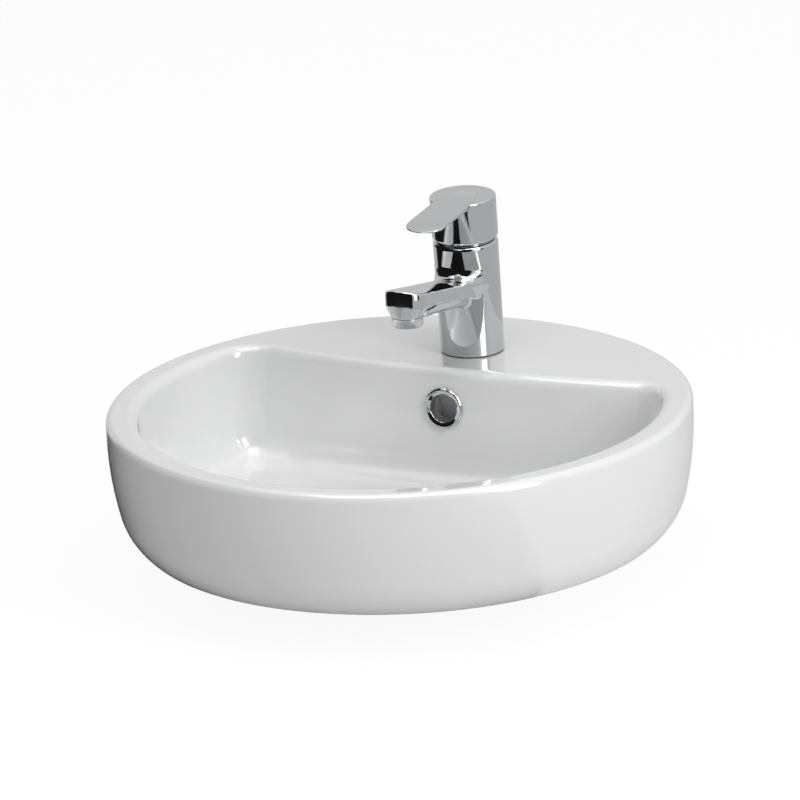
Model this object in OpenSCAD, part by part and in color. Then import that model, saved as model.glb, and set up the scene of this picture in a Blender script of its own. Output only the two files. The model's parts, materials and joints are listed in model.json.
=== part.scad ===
// Round countertop basin with a D-shaped bowl, a rear deck, a single-lever mixer and a push waste.
// The origin is the centre of the foot on the countertop, +Z is up, the user stands at -Y.

/* [Basin] */
// Outside diameter of the round body
basin_d = 440; // [430:1:450]
// Height of the rim above the countertop
rim_h = 130; // [126:1:136]
// Width from the outer side to the bowl wall
rim_w = 24; // [22:1:30]
// Rounding of the rim's outer edge
rim_outer_round = 6; // [4:0.5:8]
// Rounding of every edge that leads down into the bowl
rim_inner_round = 9; // [6:0.5:10]
// Thickness of the ceramic where it is a plain wall
wall = 10; // [8:0.5:11]

/* [Outer side] */
// Depth below the rim where the side starts to curve in
side_start = 13.5; // [10:0.5:16]
// Radius of the long gentle curve of the side
side_curve = 262; // [250:1:280]
// Radius of the tighter curve under the side
turn_curve = 47; // [44:1:50]
// Height of the tighter curve's centre above the countertop
turn_h = 68.1; // [66:0.1:70]
// Angle below the horizontal where the tighter curve ends
turn_end = 51.5; // [48:0.5:54]
// Radius of the lower edge
lower_edge = 5; // [4:0.5:6]
// Rise of the underside from the foot outwards, in degrees
under_rise = 14; // [12:0.5:15]

/* [Foot] */
// Outside diameter of the foot ring
foot_d = 204; // [196:1:208]
// Width of the foot ring
foot_w = 10; // [8:0.5:14]
// Slope of the foot ring's outer side, in degrees from the vertical
foot_slope = 20; // [10:1:25]

/* [Bowl] */
// Height of the bowl floor above the countertop
floor_h = 44; // [44:0.5:48]
// Slope of the bowl walls, in degrees from the vertical
bowl_draft = 4; // [2:0.5:5]
// Fillet between the walls and the floor
bowl_fillet = 20; // [16:0.5:20]
// Distance from the tap's axis to the bowl's back wall
deck_front = 54; // [50:1:58]
// Radius of the back wall's bow towards the user
back_bow = 1050; // [900:10:1300]
// Plan radius of the two corners of the bowl
corner_r = 26; // [26:0.5:30]
// Fall of the floor towards the waste
drain_fall = 1.5; // [1:0.1:2]

/* [Deck] */
// Thickness of the deck that carries the tap
deck_t = 12; // [10:0.5:14]
// Distance from the tap's axis to the back of the basin
tap_back = 87; // [84:0.5:90]
// Diameter of the tap hole
tap_hole_d = 35; // [34:0.5:36]
// Width of the hollow under the deck
deck_hollow_w = 300; // [280:1:310]

/* [Overflow] */
// Depth of the overflow's centre below the rim
overflow_drop = 30; // [28:0.5:34]
// Outside diameter of the overflow ring's flange
overflow_ring_d = 32; // [28:0.5:34]
// Diameter of the ring's opening
overflow_bore_d = 22; // [20:0.5:22]
// Diameter of the hole in the ceramic
overflow_hole_d = 25; // [24.5:0.1:26]
// Thickness of the ring's flange
overflow_flange_t = 3; // [2:0.5:4]
// Length of the ring's sleeve in the wall
overflow_sleeve = 8; // [6:0.5:9]
// Inside width of the overflow channel
channel_w = 24; // [22:0.5:26]
// Inside depth of the upright part of the channel
channel_t = 10; // [8:0.5:11]
// Inside height of the part under the floor
channel_h = 7; // [5:0.5:7]
// Wall around the channel
channel_wall = 6; // [5:0.5:7]

/* [Waste] */
// Diameter of the waste hole
waste_hole_d = 45.5; // [44:0.5:47]
// Outside diameter of the threaded body
waste_d = 41.9; // [41:0.1:42.5]
// Bore of the waste body
waste_bore_d = 35; // [33:0.5:36]
// Diameter of the flange in the bowl
flange_d = 63; // [60:0.5:66]
// Thickness of the flange
flange_t = 2.5; // [2:0.1:3]
// Depth of the recess for the flange
flange_recess = 2; // [1.5:0.1:2.5]
// Ceramic between the flange recess and the overflow channel
waste_floor_t = 8; // [7:0.5:9]
// Ceramic below the overflow channel
waste_seat_t = 5; // [4.5:0.1:6]
// Height of the backnut
backnut_h = 7; // [6:0.5:8]
// Width of the backnut across its flats
backnut_af = 54; // [52:0.5:56]
// Gap between the countertop and the end of the thread
tail_gap = 1; // [0.8:0.1:2]
// Travel of the push plug
plug_travel = 8; // [6:0.5:9]
// Diameter of the plug
plug_d = 40; // [38:0.5:42]

/* [Tap body] */
// Diameter of the body at the deck
tap_base_d = 48.8; // [48:0.1:50]
// Diameter of the body at the top
tap_top_d = 49.6; // [49:0.1:51]
// Length of the body along its axis
tap_body_h = 90.5; // [88:0.5:92]
// Lean of the body towards the user, in degrees
tap_lean = 2.9; // [2:0.1:4]
// Reach from the body's axis to the outlet
spout_reach = 112; // [108:1:116]
// Height of the outlet's seat above the deck
outlet_h = 60; // [57:0.5:62]
// Height of the spout's upper face at its end
spout_end_h = 83; // [81:0.5:85]
// Height of the spout's upper face at the body
spout_root_h = 60; // [57:0.5:62]
// Height of the spout's side at the body
spout_side_h = 12; // [10:0.5:14]
// Depth of the spout with its belly
spout_depth = 20.5; // [19:0.5:21]
// Width of the spout's end
spout_end_w = 30; // [27:0.5:31]
// Width of the spout at the body
spout_root_w = 33; // [31:0.5:35]
// Bore of the two inlets
inlet_d = 9; // [8.5:0.1:9.5]
// Depth of the thread in each inlet
inlet_depth = 12; // [10:0.5:14]

/* [Lever] */
// Diameter of the lever's cap
cap_d = 50.6; // [50:0.1:52]
// Wall of the cap
cap_wall = 1.8; // [1.6:0.1:2]
// Height of the cap
cap_h = 33; // [31:0.5:34]
// Gap between the body and the cap
cap_gap = 1.4; // [1.2:0.1:1.8]
// Distance from the axis to the tip of the blade
blade_reach = 80; // [78:1:88]
// Widest part of the blade
blade_w = 31; // [30:0.5:35]
// Thickness of the blade at its tip
blade_tip_t = 3; // [2.5:0.1:4]

/* [Cartridge] */
// Diameter of the ceramic cartridge
cartridge_d = 35; // [34.6:0.1:35.2]
// Height of the cartridge's seat along the body's axis
cartridge_seat = 46; // [45:0.5:47]
// Height of the lever's pivot along the body's axis
pivot_s = 70; // [69.5:0.1:70.5]
// Distance from the pivot to the spindle's ball
spindle_arm = 11.2; // [11:0.1:11.4]
// Side of the spindle's square head
spindle_square = 8; // [7:0.5:8]
// Diameter of the pivot pin
pin_d = 3; // [2.5:0.1:3.2]

/* [Aerator] */
// Outside diameter of the aerator's housing
aerator_d = 23.7; // [23:0.1:24.5]
// Height of the housing below the spout
aerator_h = 7.5; // [7:0.5:9]
// Diameter of the thread inside the spout
aerator_thread_d = 21; // [20:0.5:22]

/* [Fixing] */
// Diameter of the fixing stud
stud_d = 8; // [7:0.5:8]
// Length of the stud below the tap
stud_l = 52; // [46:1:60]
// Distance from the tap's axis to the stud
stud_y = 11; // [10.5:0.5:11.5]
// Diameter of the horseshoe washers
horseshoe_d = 50; // [46:1:50]

/* [Hidden] */
$fn = 96;
// how far a cut runs past the face that it opens
past = 1;
// clearance of a fixed piece in its hole, and of one that turns or slides
fixed_gap = 0.1;
running_gap = 0.06;

// Points along an arc, close enough together that its chords stay within 0.1 mm of it
function arc(c, r, from, to) =
    let (steps = max(2, ceil(abs(to - from) / (2 * acos(1 - 0.1 / r)))))
    [for (i = [0:steps]) let (a = from + (to - from) * i / steps) c + r * [cos(a), sin(a)]];

// The tap keeps its place from the back, and the bowl's back wall from the tap
outer_r = basin_d / 2;
tap_y = outer_r - tap_back;
back_y = tap_y - deck_front;
bowl_depth = rim_h - floor_h;

// Centres of the outer side's three arcs, seen in half section
side_c = [outer_r - side_curve, rim_h - side_start];
side_turn = asin((side_c.y - turn_h) / (side_curve - turn_curve));
turn_c = side_c + (side_curve - turn_curve) * [cos(side_turn), -sin(side_turn)];
edge_c = turn_c + (turn_curve - lower_edge) * [cos(turn_end), -sin(turn_end)];
edge_end = edge_c + lower_edge * [sin(under_rise), -cos(under_rise)];
foot_r = foot_d / 2;
// the foot's sloping side meets the underside where both have the same height
foot_top_r = (edge_end.y - edge_end.x * tan(under_rise) + foot_r / tan(foot_slope))
    / (1 / tan(foot_slope) - tan(under_rise));
foot_top_z = (foot_top_r - foot_r) / tan(foot_slope);

// Bowl, waste and channel levels
bowl_r = outer_r - rim_w;
floor_z = floor_h;
drain_z = floor_z - drain_fall;
recess_z = drain_z - flange_recess;
channel_top = recess_z - waste_floor_t;
channel_z = channel_top - channel_h;
seat_z = channel_z - waste_seat_t;
back_c = [0, back_y + back_bow];
// the corner circle touches the round wall and the bowed wall from inside
corner_y = (pow(bowl_r - corner_r, 2) - pow(back_bow + corner_r, 2) + pow(back_c.y, 2)) / (2 * back_c.y);
corner_x = sqrt(pow(bowl_r - corner_r, 2) - pow(corner_y, 2));
corner_c = [corner_x, corner_y];
corner_side = corner_c * bowl_r / (bowl_r - corner_r);
corner_back = back_c + (corner_c - back_c) * back_bow / (back_bow + corner_r);
duct_front = back_y + wall;
duct_back = duct_front + channel_t + channel_wall;
hollow_front = foot_r + 2;
overflow_z = rim_h - overflow_drop;
// the drafted wall stands this far forward of its upper edge at the overflow
overflow_y = back_y - (overflow_drop - rim_inner_round * (1 - sin(bowl_draft))) * tan(bowl_draft);

// Waste levels
gasket_t = 1;
flange_z = recess_z + gasket_t;
waste_seal_t = 3;
slip_t = 1;
slip_z = seat_z - waste_seal_t - slip_t;
backnut_z = slip_z - backnut_h;
hub_z = 13;
hub_h = 8;
hub_bore_d = 6;
barrel_d = 11;
barrel_z = hub_z + hub_h;
barrel_h = 17;
barrel_bore_d = 7;
stem_d = 6.6;
spring_h = 6;
stem_z = barrel_z + spring_h;
plug_z = flange_z + 0.8;
plug_t = 3.2;
plug_seal_t = 1.5;

// Tap levels above the deck
base_seal_t = 1;
spigot_clear = 0.3;
cap_s = tap_body_h + cap_gap;
cap_r = cap_d / 2;
cap_top_t = 6;
boss_s = cap_s + 8;
boss_r = 8;
spindle_top = cap_s + cap_h - cap_top_t - 1.5;
screw_s = spindle_top - 6;
chamber_r = cartridge_d / 2 + fixed_gap;
base_t = 4;
disc_t = 3;
moving_t = 2.2;
disc_s = cartridge_seat + base_t;
moving_s = disc_s + disc_t;
carrier_s = moving_s + moving_t;
ball_r = 3;
ball_s = pivot_s - spindle_arm;
carrier_top = ball_s + 1.4;
rotor_s = carrier_top + 0.4;
rotor_top = pivot_s + 7;
rotor_r = 12;
disc_bore_r = cartridge_d / 2 - 2.3;
moving_r = 10.4;
nut_s = rotor_top + 0.3;
nut_h = 8.5;
nut_r = cartridge_d / 2 + 2;
nut_bore_r = 12.6;
inlet_x = 7.5;
inlet_y = -6;
outlet_y = -spout_reach;
nose_front = outlet_y - 13;
thread_depth = 8;

// Places of the tap's pieces: upright on the deck, or along the leaning axis
module on_deck() {
    translate([0, tap_y, rim_h]) children();
}
module leaning() {
    on_deck() rotate([tap_lean, 0, 0]) children();
}

// Place of the overflow, square to the sloping back wall
module in_overflow() {
    translate([0, overflow_y, overflow_z]) rotate([90 - bowl_draft, 0, 0]) children();
}

// A ring with a square section
module ring(r_out, r_in, h) {
    difference() {
        cylinder(r = r_out, h = h);
        translate([0, 0, -past]) cylinder(r = r_in, h = h + 2 * past);
    }
}
// A ring with a round section
module o_ring(r_mid, r_section) {
    rotate_extrude() translate([r_mid, 0]) circle(r = r_section, $fn = 24);
}

// Half section of the body's outside
module outer_outline() {
    polygon(concat(
        [[0, foot_top_z], [0, rim_h]],
        arc([outer_r - rim_outer_round, rim_h - rim_outer_round], rim_outer_round, 90, 0),
        arc(side_c, side_curve, 0, -side_turn),
        arc(turn_c, turn_curve, -side_turn, -turn_end),
        arc(edge_c, lower_edge, -turn_end, under_rise - 90),
        [[foot_top_r, foot_top_z], [foot_r, 0], [foot_r - foot_w, 0], [foot_r - foot_w, foot_top_z]]));
}

// Levels of the bowl from the floor up, each with how far the wall is set in and its height
bowl_levels = let (slope = tan(bowl_draft), lean_in = cos(bowl_draft),
    rise = bowl_depth - rim_inner_round * (1 - sin(bowl_draft)) - bowl_fillet * (1 - sin(bowl_draft)),
    fillet_c = [rise * slope + bowl_fillet * lean_in, floor_z + bowl_fillet],
    rim_c = [-rim_inner_round * lean_in, rim_h - rim_inner_round])
    concat(arc(fillet_c, bowl_fillet, -90, bowl_draft - 180), arc(rim_c, rim_inner_round, bowl_draft, 90),
        [[rim_c.x, rim_h + past]]);
// Angles where the corners touch the round front and the bowed back
front_end = atan2(corner_c.y, corner_c.x);
back_end = atan2(corner_c.y - back_c.y, corner_c.x);

// Plan of the bowl where its wall is set in by d: round front, corner, bowed back and corner
function plan_arc(c, r, from, to, n, z) =
    [for (i = [1:n]) let (a = from + (to - from) * i / n) [c.x + r * cos(a), c.y + r * sin(a), z]];
function bowl_plan(d, z) = concat(
    plan_arc([0, 0], bowl_r - d, 180 - front_end, 360 + front_end, 44, z),
    plan_arc(corner_c, corner_r - d, front_end, 180 + back_end, 7, z),
    plan_arc(back_c, back_bow + d, back_end, -180 - back_end, 8, z),
    plan_arc([-corner_c.x, corner_c.y], corner_r - d, -back_end, 180 - front_end, 7, z));

// Hollow of the bowl, one closed skin over its plans
module bowl_hollow() {
    plans = [for (level = bowl_levels) bowl_plan(level.x, level.y)];
    n = len(plans[0]);
    top = len(plans) - 1;
    // the floor falls to its middle, which is the last point
    polyhedron(concat([for (plan = plans) each plan], [[0, 0, drain_z]]), concat(
        [for (k = [0:n - 1]) [len(plans) * n, k, (k + 1) % n]], [[for (k = [0:n - 1]) top * n + n - 1 - k]],
        [for (i = [0:top - 1]) for (k = [0:n - 1]) let (p = i * n + k, q = i * n + (k + 1) % n)
            [p, p + n, q + n, q]]));
}

// Hollow under the deck, open below behind the foot for the pipes and the tap's fixing
module deck_hollow() {
    inner_r = outer_r - wall;
    difference() {
        union() {
            intersection() {
                rotate_extrude() polygon(concat(
                    [[0, edge_end.y], [edge_c.x - wall, edge_end.y]],
                    arc(turn_c, turn_curve - wall, -turn_end, -side_turn),
                    arc(side_c, side_curve - wall, -side_turn, 0),
                    [[inner_r, rim_h - deck_t], [0, rim_h - deck_t]]));
                translate([-deck_hollow_w / 2, 0, 0]) cube([deck_hollow_w, outer_r, rim_h]);
            }
            intersection() {
                translate([0, 0, -past]) cylinder(r = edge_end.x - 2 * wall, h = edge_end.y + 2 * past);
                translate([-deck_hollow_w / 2, hollow_front, -2 * past])
                    cube([deck_hollow_w, outer_r, rim_h]);
            }
        }
        // the ceramic of the bowl's back wall
        translate([0, 0, -2 * past]) difference() {
            translate([-outer_r, -outer_r, 0]) cube([basin_d, outer_r + back_y + 3 * wall, rim_h]);
            translate([back_c.x, back_c.y, -past]) cylinder(r = back_bow - wall, h = rim_h + 2 * past, $fn = 720);
        }
        // the duct of the overflow stays solid
        translate([-channel_w / 2 - channel_wall, 0, -2 * past])
            cube([channel_w + 2 * channel_wall, duct_back, rim_h]);
    }
}

// Hollow inside the foot, with the boss of the waste and the rib of the overflow left standing
module foot_hollow() {
    skin = wall / cos(under_rise);
    under_z = floor_z - wall;
    meet_r = edge_end.x - (edge_end.y + skin - under_z) / tan(under_rise);
    start_r = foot_r - foot_w;
    start_z = under_z - (meet_r - start_r - foot_w) * tan(under_rise);
    difference() {
        rotate_extrude() polygon([[0, -past], [start_r, -past], [start_r, start_z - 2],
            [start_r + foot_w, start_z], [meet_r - foot_w, under_z - foot_w * tan(under_rise)],
            [meet_r - foot_w, under_z], [0, under_z]]);
        translate([0, 0, seat_z]) cylinder(d = flange_d + 2 * wall, h = floor_z);
        translate([-channel_w / 2 - channel_wall, 0, seat_z])
            cube([channel_w + 2 * channel_wall, duct_back, floor_z]);
    }
}

// Way of the overflow water: from the hole down the duct and under the floor to the waste
module overflow_channel() {
    translate([-channel_w / 2, duct_front, channel_z])
        cube([channel_w, channel_t, overflow_z + overflow_hole_d / 2 - channel_z]);
    translate([-channel_w / 2, 0, channel_z]) cube([channel_w, duct_front + past, channel_h]);
    in_overflow() translate([0, 0, overflow_y - duct_front - past])
        cylinder(d = overflow_hole_d, h = duct_front - overflow_y + 2 * past);
}

// Glazed ceramic body, cast in one piece
module basin() {
    color("white") difference() {
        rotate_extrude($fn = 180) outer_outline();
        bowl_hollow();
        deck_hollow();
        foot_hollow();
        overflow_channel();
        translate([0, 0, recess_z]) cylinder(d = flange_d + 1.5, h = bowl_depth);
        translate([0, 0, seat_z - past]) cylinder(d = waste_hole_d, h = bowl_depth);
        on_deck() translate([0, 0, -deck_t - past]) cylinder(d = tap_hole_d, h = deck_t + 2 * past);
    }
}

// Chromed ring pushed into the overflow hole
module overflow_ring() {
    flange_r = overflow_ring_d / 2;
    bore_r = overflow_bore_d / 2;
    lip = 1.4;
    sleeve_r = overflow_hole_d / 2 - fixed_gap;
    color("silver") in_overflow() rotate_extrude() polygon([[bore_r, -overflow_sleeve], [sleeve_r, -overflow_sleeve], [sleeve_r, 0],
            [flange_r, 0], [flange_r, 0.8], [flange_r - 0.8, 2], [flange_r - 2, overflow_flange_t],
            [bore_r + 2 * lip, overflow_flange_t - 1.4], [bore_r + lip, overflow_flange_t - 0.6],
            [bore_r, overflow_flange_t - 1]]);
}

// Flanged brass waste with its thread, four overflow windows and a bridge for the plug
module waste_body() {
    throat_r = waste_bore_d / 2;
    seat_drop = 5;
    color("silver") difference() {
        union() {
            translate([0, 0, tail_gap]) cylinder(d = waste_d, h = flange_z - tail_gap);
            translate([0, 0, flange_z]) cylinder(d1 = flange_d, d2 = flange_d - 3, h = flange_t);
        }
        difference() {
            translate([0, 0, tail_gap - past]) cylinder(r = throat_r, h = flange_z + flange_t + past);
            translate([-waste_bore_d, -2.5, hub_z]) cube([2 * waste_bore_d, 5, 4]);
            translate([0, 0, hub_z]) cylinder(d = barrel_d + 2, h = hub_h - 1);
        }
        translate([0, 0, hub_z - past]) cylinder(d = hub_bore_d, h = hub_h + 2 * past);
        translate([0, 0, flange_z + flange_t - seat_drop])
            cylinder(r1 = throat_r - 0.01, r2 = plug_d / 2 + 2, h = seat_drop + 0.01);
        for (a = [0:90:270]) rotate([0, 0, a]) translate([0, -8, channel_z])
            cube([waste_d, 16, channel_h]);
        // undercut between the trap's thread and the backnut's
        translate([0, 0, backnut_z - 1]) ring(waste_d, waste_d / 2 - 0.65, 0.8);
    }
}

// Soft gasket under the flange
module waste_gasket() {
    color("dimgray") translate([0, 0, recess_z])
        ring(flange_d / 2 - 1.5, waste_d / 2 + fixed_gap, gasket_t);
}

// Rubber seal pressed against the ceramic from below
module waste_seal() {
    color("black") translate([0, 0, seat_z - waste_seal_t])
        ring(backnut_af / 2 + 2, waste_d / 2 + fixed_gap, waste_seal_t);
}

// Slippery washer between the seal and the nut
module slip_washer() {
    color("whitesmoke") translate([0, 0, slip_z]) ring(backnut_af / 2 + 1, waste_d / 2 + fixed_gap, slip_t);
}

// Hexagonal backnut
module backnut() {
    color("silver") translate([0, 0, backnut_z]) difference() {
        cylinder(d = backnut_af / cos(30), h = backnut_h, $fn = 6);
        translate([0, 0, -past]) cylinder(d = waste_d + 2 * running_gap, h = backnut_h + 2 * past);
    }
}

// Barrel of the click mechanism, screwed into the waste's bridge
module click_barrel() {
    color("whitesmoke") difference() {
        union() {
            translate([0, 0, barrel_z - 1]) cylinder(d = barrel_d, h = barrel_h + 1);
            translate([0, 0, hub_z]) cylinder(d = hub_bore_d - 2 * fixed_gap, h = hub_h);
        }
        translate([0, 0, barrel_z]) cylinder(d = barrel_bore_d, h = barrel_h + past);
    }
}

// Coil spring under the plug's stem, one tube along a helix
module click_spring() {
    turns = 4;
    wire_r = 0.35;
    coil_r = barrel_bore_d / 2 - wire_r - 0.2;
    per_turn = 16;
    sides = 6;
    steps = turns * per_turn;
    rise = spring_h - 2 * wire_r - 0.4;
    points = [for (i = [0:steps]) let (a = 360 * i / per_turn, z = wire_r + 0.2 + rise * i / steps)
        for (k = [0:sides - 1]) let (b = 360 * k / sides, r = coil_r + wire_r * cos(b))
            [r * cos(a), r * sin(a), z + wire_r * sin(b)]];
    sides_faces = [for (i = [0:steps - 1]) for (k = [0:sides - 1])
        let (p = i * sides + k, q = i * sides + (k + 1) % sides)
            each [[p, q, q + sides], [p, q + sides, p + sides]]];
    ends = [[for (k = [0:sides - 1]) sides - 1 - k], [for (k = [0:sides - 1]) steps * sides + k]];
    color("silver") translate([0, 0, barrel_z]) polyhedron(points, concat(sides_faces, ends));
}

// Stem of the plug, which slides in the barrel
module plug_stem() {
    color("whitesmoke") {
        translate([0, 0, stem_z]) cylinder(d = stem_d + 0.28, h = plug_z - stem_z - 2);
        translate([0, 0, plug_z - 2]) cylinder(d = 20, h = 2);
    }
}

// Domed plug
module plug_cap() {
    r = plug_d / 2;
    color("silver") translate([0, 0, plug_z]) rotate_extrude()
        polygon(concat([[0, 0], [r - 1, 0]], arc([r - 1.2, 1.2], 1.2, 0, 90),
            [[r / 2, plug_t - 0.3], [0, plug_t]]));
}

// Seal around the plug's underside
module plug_seal() {
    color("black") translate([0, 0, plug_z - plug_seal_t]) ring(plug_d / 2 - 1.2, 10.3, plug_seal_t);
}

// Spout: an arm that rises to a rounded nose over the outlet
module spout() {
    edge = 2;
    root_y = -14;
    end_y = outlet_y + 6;
    nose_round = 8;
    root_w = spout_root_w / 2 - edge;
    end_w = spout_end_w / 2 - edge;
    nose_w = spout_end_w / 2 - nose_round;
    rise = (spout_end_h - spout_root_h) / (root_y - nose_front);
    hull() {
        for (s = [-1, 1]) {
            for (z = [spout_root_h - edge, spout_root_h - spout_side_h])
                translate([s * root_w, root_y, z]) sphere(r = edge, $fn = 24);
            translate([s * end_w, end_y, spout_end_h - edge - (end_y - nose_front) * rise])
                sphere(r = edge, $fn = 24);
            translate([s * end_w, end_y, outlet_h + 6]) sphere(r = edge, $fn = 24);
        }
    }
    hull() {
        for (s = [-1, 1]) {
            translate([s * end_w, end_y, spout_end_h - edge - (end_y - nose_front) * rise])
                sphere(r = edge, $fn = 24);
            for (z = [spout_end_h - nose_round, spout_end_h - 9])
                translate([s * nose_w, nose_front + nose_round, z]) sphere(r = nose_round, $fn = 32);
            translate([s * end_w, end_y, outlet_h + 6]) sphere(r = edge, $fn = 24);
        }
        translate([0, outlet_y, outlet_h]) cylinder(d = aerator_d + 1.4, h = 1, $fn = 48);
    }
    // belly under the arm, narrower than the arm above it, which ends behind the outlet
    belly = 6;
    belly_x = spout_root_w / 3 - belly;
    hull() {
        for (s = [-1, 1]) {
            for (z = [spout_root_h - spout_depth + belly, spout_root_h - belly])
                translate([s * belly_x, root_y, z]) sphere(r = belly, $fn = 32);
            translate([s * belly_x, outlet_y + aerator_d / 2 + 2 * belly, outlet_h - 0.5])
                sphere(r = belly, $fn = 32);
        }
    }
}

// Chromed brass body with its spout, cast in one piece
module tap_body() {
    top_r = tap_top_d / 2;
    top_round = 2;
    channel_r = 4.5;
    channel_start = [0, -8, cartridge_seat + 6];
    channel_end = [0, outlet_y, outlet_h + thread_depth - 2];
    channel_run = norm(channel_end - channel_start);
    channel_tilt = atan2(channel_start.y - channel_end.y, channel_end.z - channel_start.z);
    color("silver") difference() {
        union() {
            intersection() {
                leaning() rotate_extrude() polygon(concat(
                    [[0, -5], [tap_base_d / 2, -5], [tap_base_d / 2, 0]],
                    arc([top_r - top_round, tap_body_h - top_round], top_round, 0, 90),
                    [[0, tap_body_h]]));
                on_deck() translate([-tap_base_d, -tap_base_d, base_seal_t])
                    cube([2 * tap_base_d, 2 * tap_base_d, 2 * tap_body_h]);
            }
            on_deck() spout();
        }
        leaning() {
            translate([0, 0, cartridge_seat]) cylinder(r = chamber_r, h = tap_body_h);
            translate([0, 0, nut_s]) cylinder(r = nut_r + fixed_gap, h = tap_body_h);
            for (s = [-1, 1]) translate([s * inlet_x, inlet_y + 1, inlet_depth])
                cylinder(r = inlet_d / 2 - 2, h = cartridge_seat - inlet_depth + past);
        }
        on_deck() {
            for (s = [-1, 1]) translate([s * inlet_x, inlet_y, base_seal_t - past])
                cylinder(d = inlet_d, h = inlet_depth + past);
            translate([0, stud_y, base_seal_t - past])
                cylinder(d = stud_d + 2 * running_gap, h = inlet_depth + past);
            translate(channel_start) rotate([channel_tilt, 0, 0]) cylinder(r = channel_r, h = channel_run);
            translate([0, outlet_y, outlet_h - past])
                cylinder(d = aerator_thread_d, h = thread_depth + 2 * past);
        }
    }
}

// Seal between the body and the deck
module tap_base_seal() {
    color("dimgray") on_deck() ring(tap_base_d / 2 - 0.4, tap_hole_d / 2 - 0.5, base_seal_t);
}

// Threaded stud that pulls the tap down
module tap_stud() {
    color("silver") on_deck() translate([0, stud_y, -stud_l])
        cylinder(d = stud_d, h = stud_l + base_seal_t + inlet_depth - 1);
}

// Horseshoe outline, open towards the user for the two pipes
module horseshoe(d, h) {
    difference() {
        cylinder(d = d, h = h);
        translate([0, stud_y, -past]) cylinder(d = stud_d + 0.6, h = h + 2 * past);
        translate([-15, -d, -past]) cube([30, d + 1.5, h + 2 * past]);
    }
}

horseshoe_seal_t = 4;
horseshoe_plate_t = 2;
// Rubber horseshoe under the deck
module horseshoe_seal() {
    color("black") on_deck() translate([0, 0, -deck_t - horseshoe_seal_t])
        horseshoe(horseshoe_d, horseshoe_seal_t);
}

// Steel horseshoe that spreads the nut's load
module horseshoe_plate() {
    color("gray") on_deck() translate([0, 0, -deck_t - horseshoe_seal_t - horseshoe_plate_t])
        horseshoe(horseshoe_d - 1, horseshoe_plate_t);
}

// Long brass nut on the stud
module stud_nut() {
    nut_len = 18;
    across = 13;
    color("gold") on_deck()
        translate([0, stud_y, -deck_t - horseshoe_seal_t - horseshoe_plate_t - nut_len]) difference() {
            cylinder(d = across / cos(30), h = nut_len, $fn = 6);
            translate([0, 0, -past]) cylinder(d = stud_d + 2 * running_gap, h = nut_len + 2 * past);
        }
}

// Chromed housing of the aerator, screwed into the spout
module aerator_housing() {
    bore_r = 8.6;
    color("silver") on_deck() translate([0, outlet_y, outlet_h]) difference() {
        union() {
            translate([0, 0, -aerator_h]) cylinder(d1 = aerator_d - 1, d2 = aerator_d, h = 0.6);
            translate([0, 0, 0.6 - aerator_h]) cylinder(d = aerator_d, h = aerator_h - 0.6);
            cylinder(d = aerator_thread_d - 2 * running_gap, h = thread_depth - 1.6);
        }
        translate([0, 0, -aerator_h - past]) cylinder(r = bore_r, h = aerator_h + thread_depth + 2 * past);
    }
}

// Plastic insert that mixes air into the water
module aerator_insert() {
    insert_r = 8.5;
    color("whitesmoke") on_deck() translate([0, outlet_y, outlet_h]) difference() {
        translate([0, 0, 1.5 - aerator_h]) cylinder(r = insert_r, h = aerator_h + thread_depth - 3.1);
        translate([0, 0, 3 - aerator_h]) cylinder(r = insert_r - 1.2, h = aerator_h + thread_depth);
        for (ring_no = [1, 2]) for (i = [0:6 * ring_no - 1]) rotate([0, 0, i * 60 / ring_no])
            translate([3 * ring_no, 0, -aerator_h]) cylinder(r = 0.9, h = aerator_h, $fn = 16);
        translate([0, 0, -aerator_h]) cylinder(r = 0.9, h = aerator_h, $fn = 16);
    }
}

// Washer that seals the aerator in the spout
module aerator_seal() {
    color("black") on_deck() translate([0, outlet_y, outlet_h + thread_depth - 1.6])
        ring(aerator_thread_d / 2 - fixed_gap, 7, 1.5);
}

// Bottom plate of the cartridge, with the two inlet ports and the outlet port
module ports(r, h) {
    for (s = [-1, 1]) translate([s * inlet_x, inlet_y + 1, -past]) cylinder(r = r, h = h + 2 * past);
    translate([0, inlet_x, -past]) cylinder(r = r, h = h + 2 * past);
}
seal_r = 0.9;
module cartridge_base() {
    color("whitesmoke") leaning() translate([0, 0, cartridge_seat]) difference() {
        cylinder(r = cartridge_d / 2 - 0.2, h = base_t);
        ports(2.6, base_t);
        ports(3.4 + seal_r, 2 * seal_r - past);
    }
}

// Three rings that seal the ports against the body
module cartridge_seals() {
    color("black") leaning() translate([0, 0, cartridge_seat + seal_r]) {
        for (s = [-1, 1]) translate([s * inlet_x, inlet_y + 1, 0]) o_ring(3.3, seal_r - 0.02);
        translate([0, inlet_x, 0]) o_ring(3.3, seal_r - 0.02);
    }
}

// Fixed ceramic disc with its three ports
module fixed_disc() {
    color("lightgray") leaning() translate([0, 0, disc_s]) difference() {
        cylinder(r = disc_bore_r - fixed_gap, h = disc_t);
        ports(2.6, disc_t);
    }
}

// Moving ceramic disc with its mixing recess
module moving_disc() {
    color("white") leaning() translate([0, 0, moving_s]) difference() {
        cylinder(r = moving_r, h = moving_t);
        translate([0, 1, -past]) cylinder(r = 5, h = 1.2 + past);
    }
}

// Carrier that the spindle's ball pushes
module disc_carrier() {
    socket = 2 * (ball_r + running_gap);
    color("royalblue") leaning() translate([0, 0, carrier_s]) difference() {
        cylinder(r = moving_r, h = carrier_top - carrier_s);
        translate([-socket / 2, -socket / 2, ball_s - ball_r - 0.2 - carrier_s])
            cube([socket, socket, 2 * ball_r]);
    }
}

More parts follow.
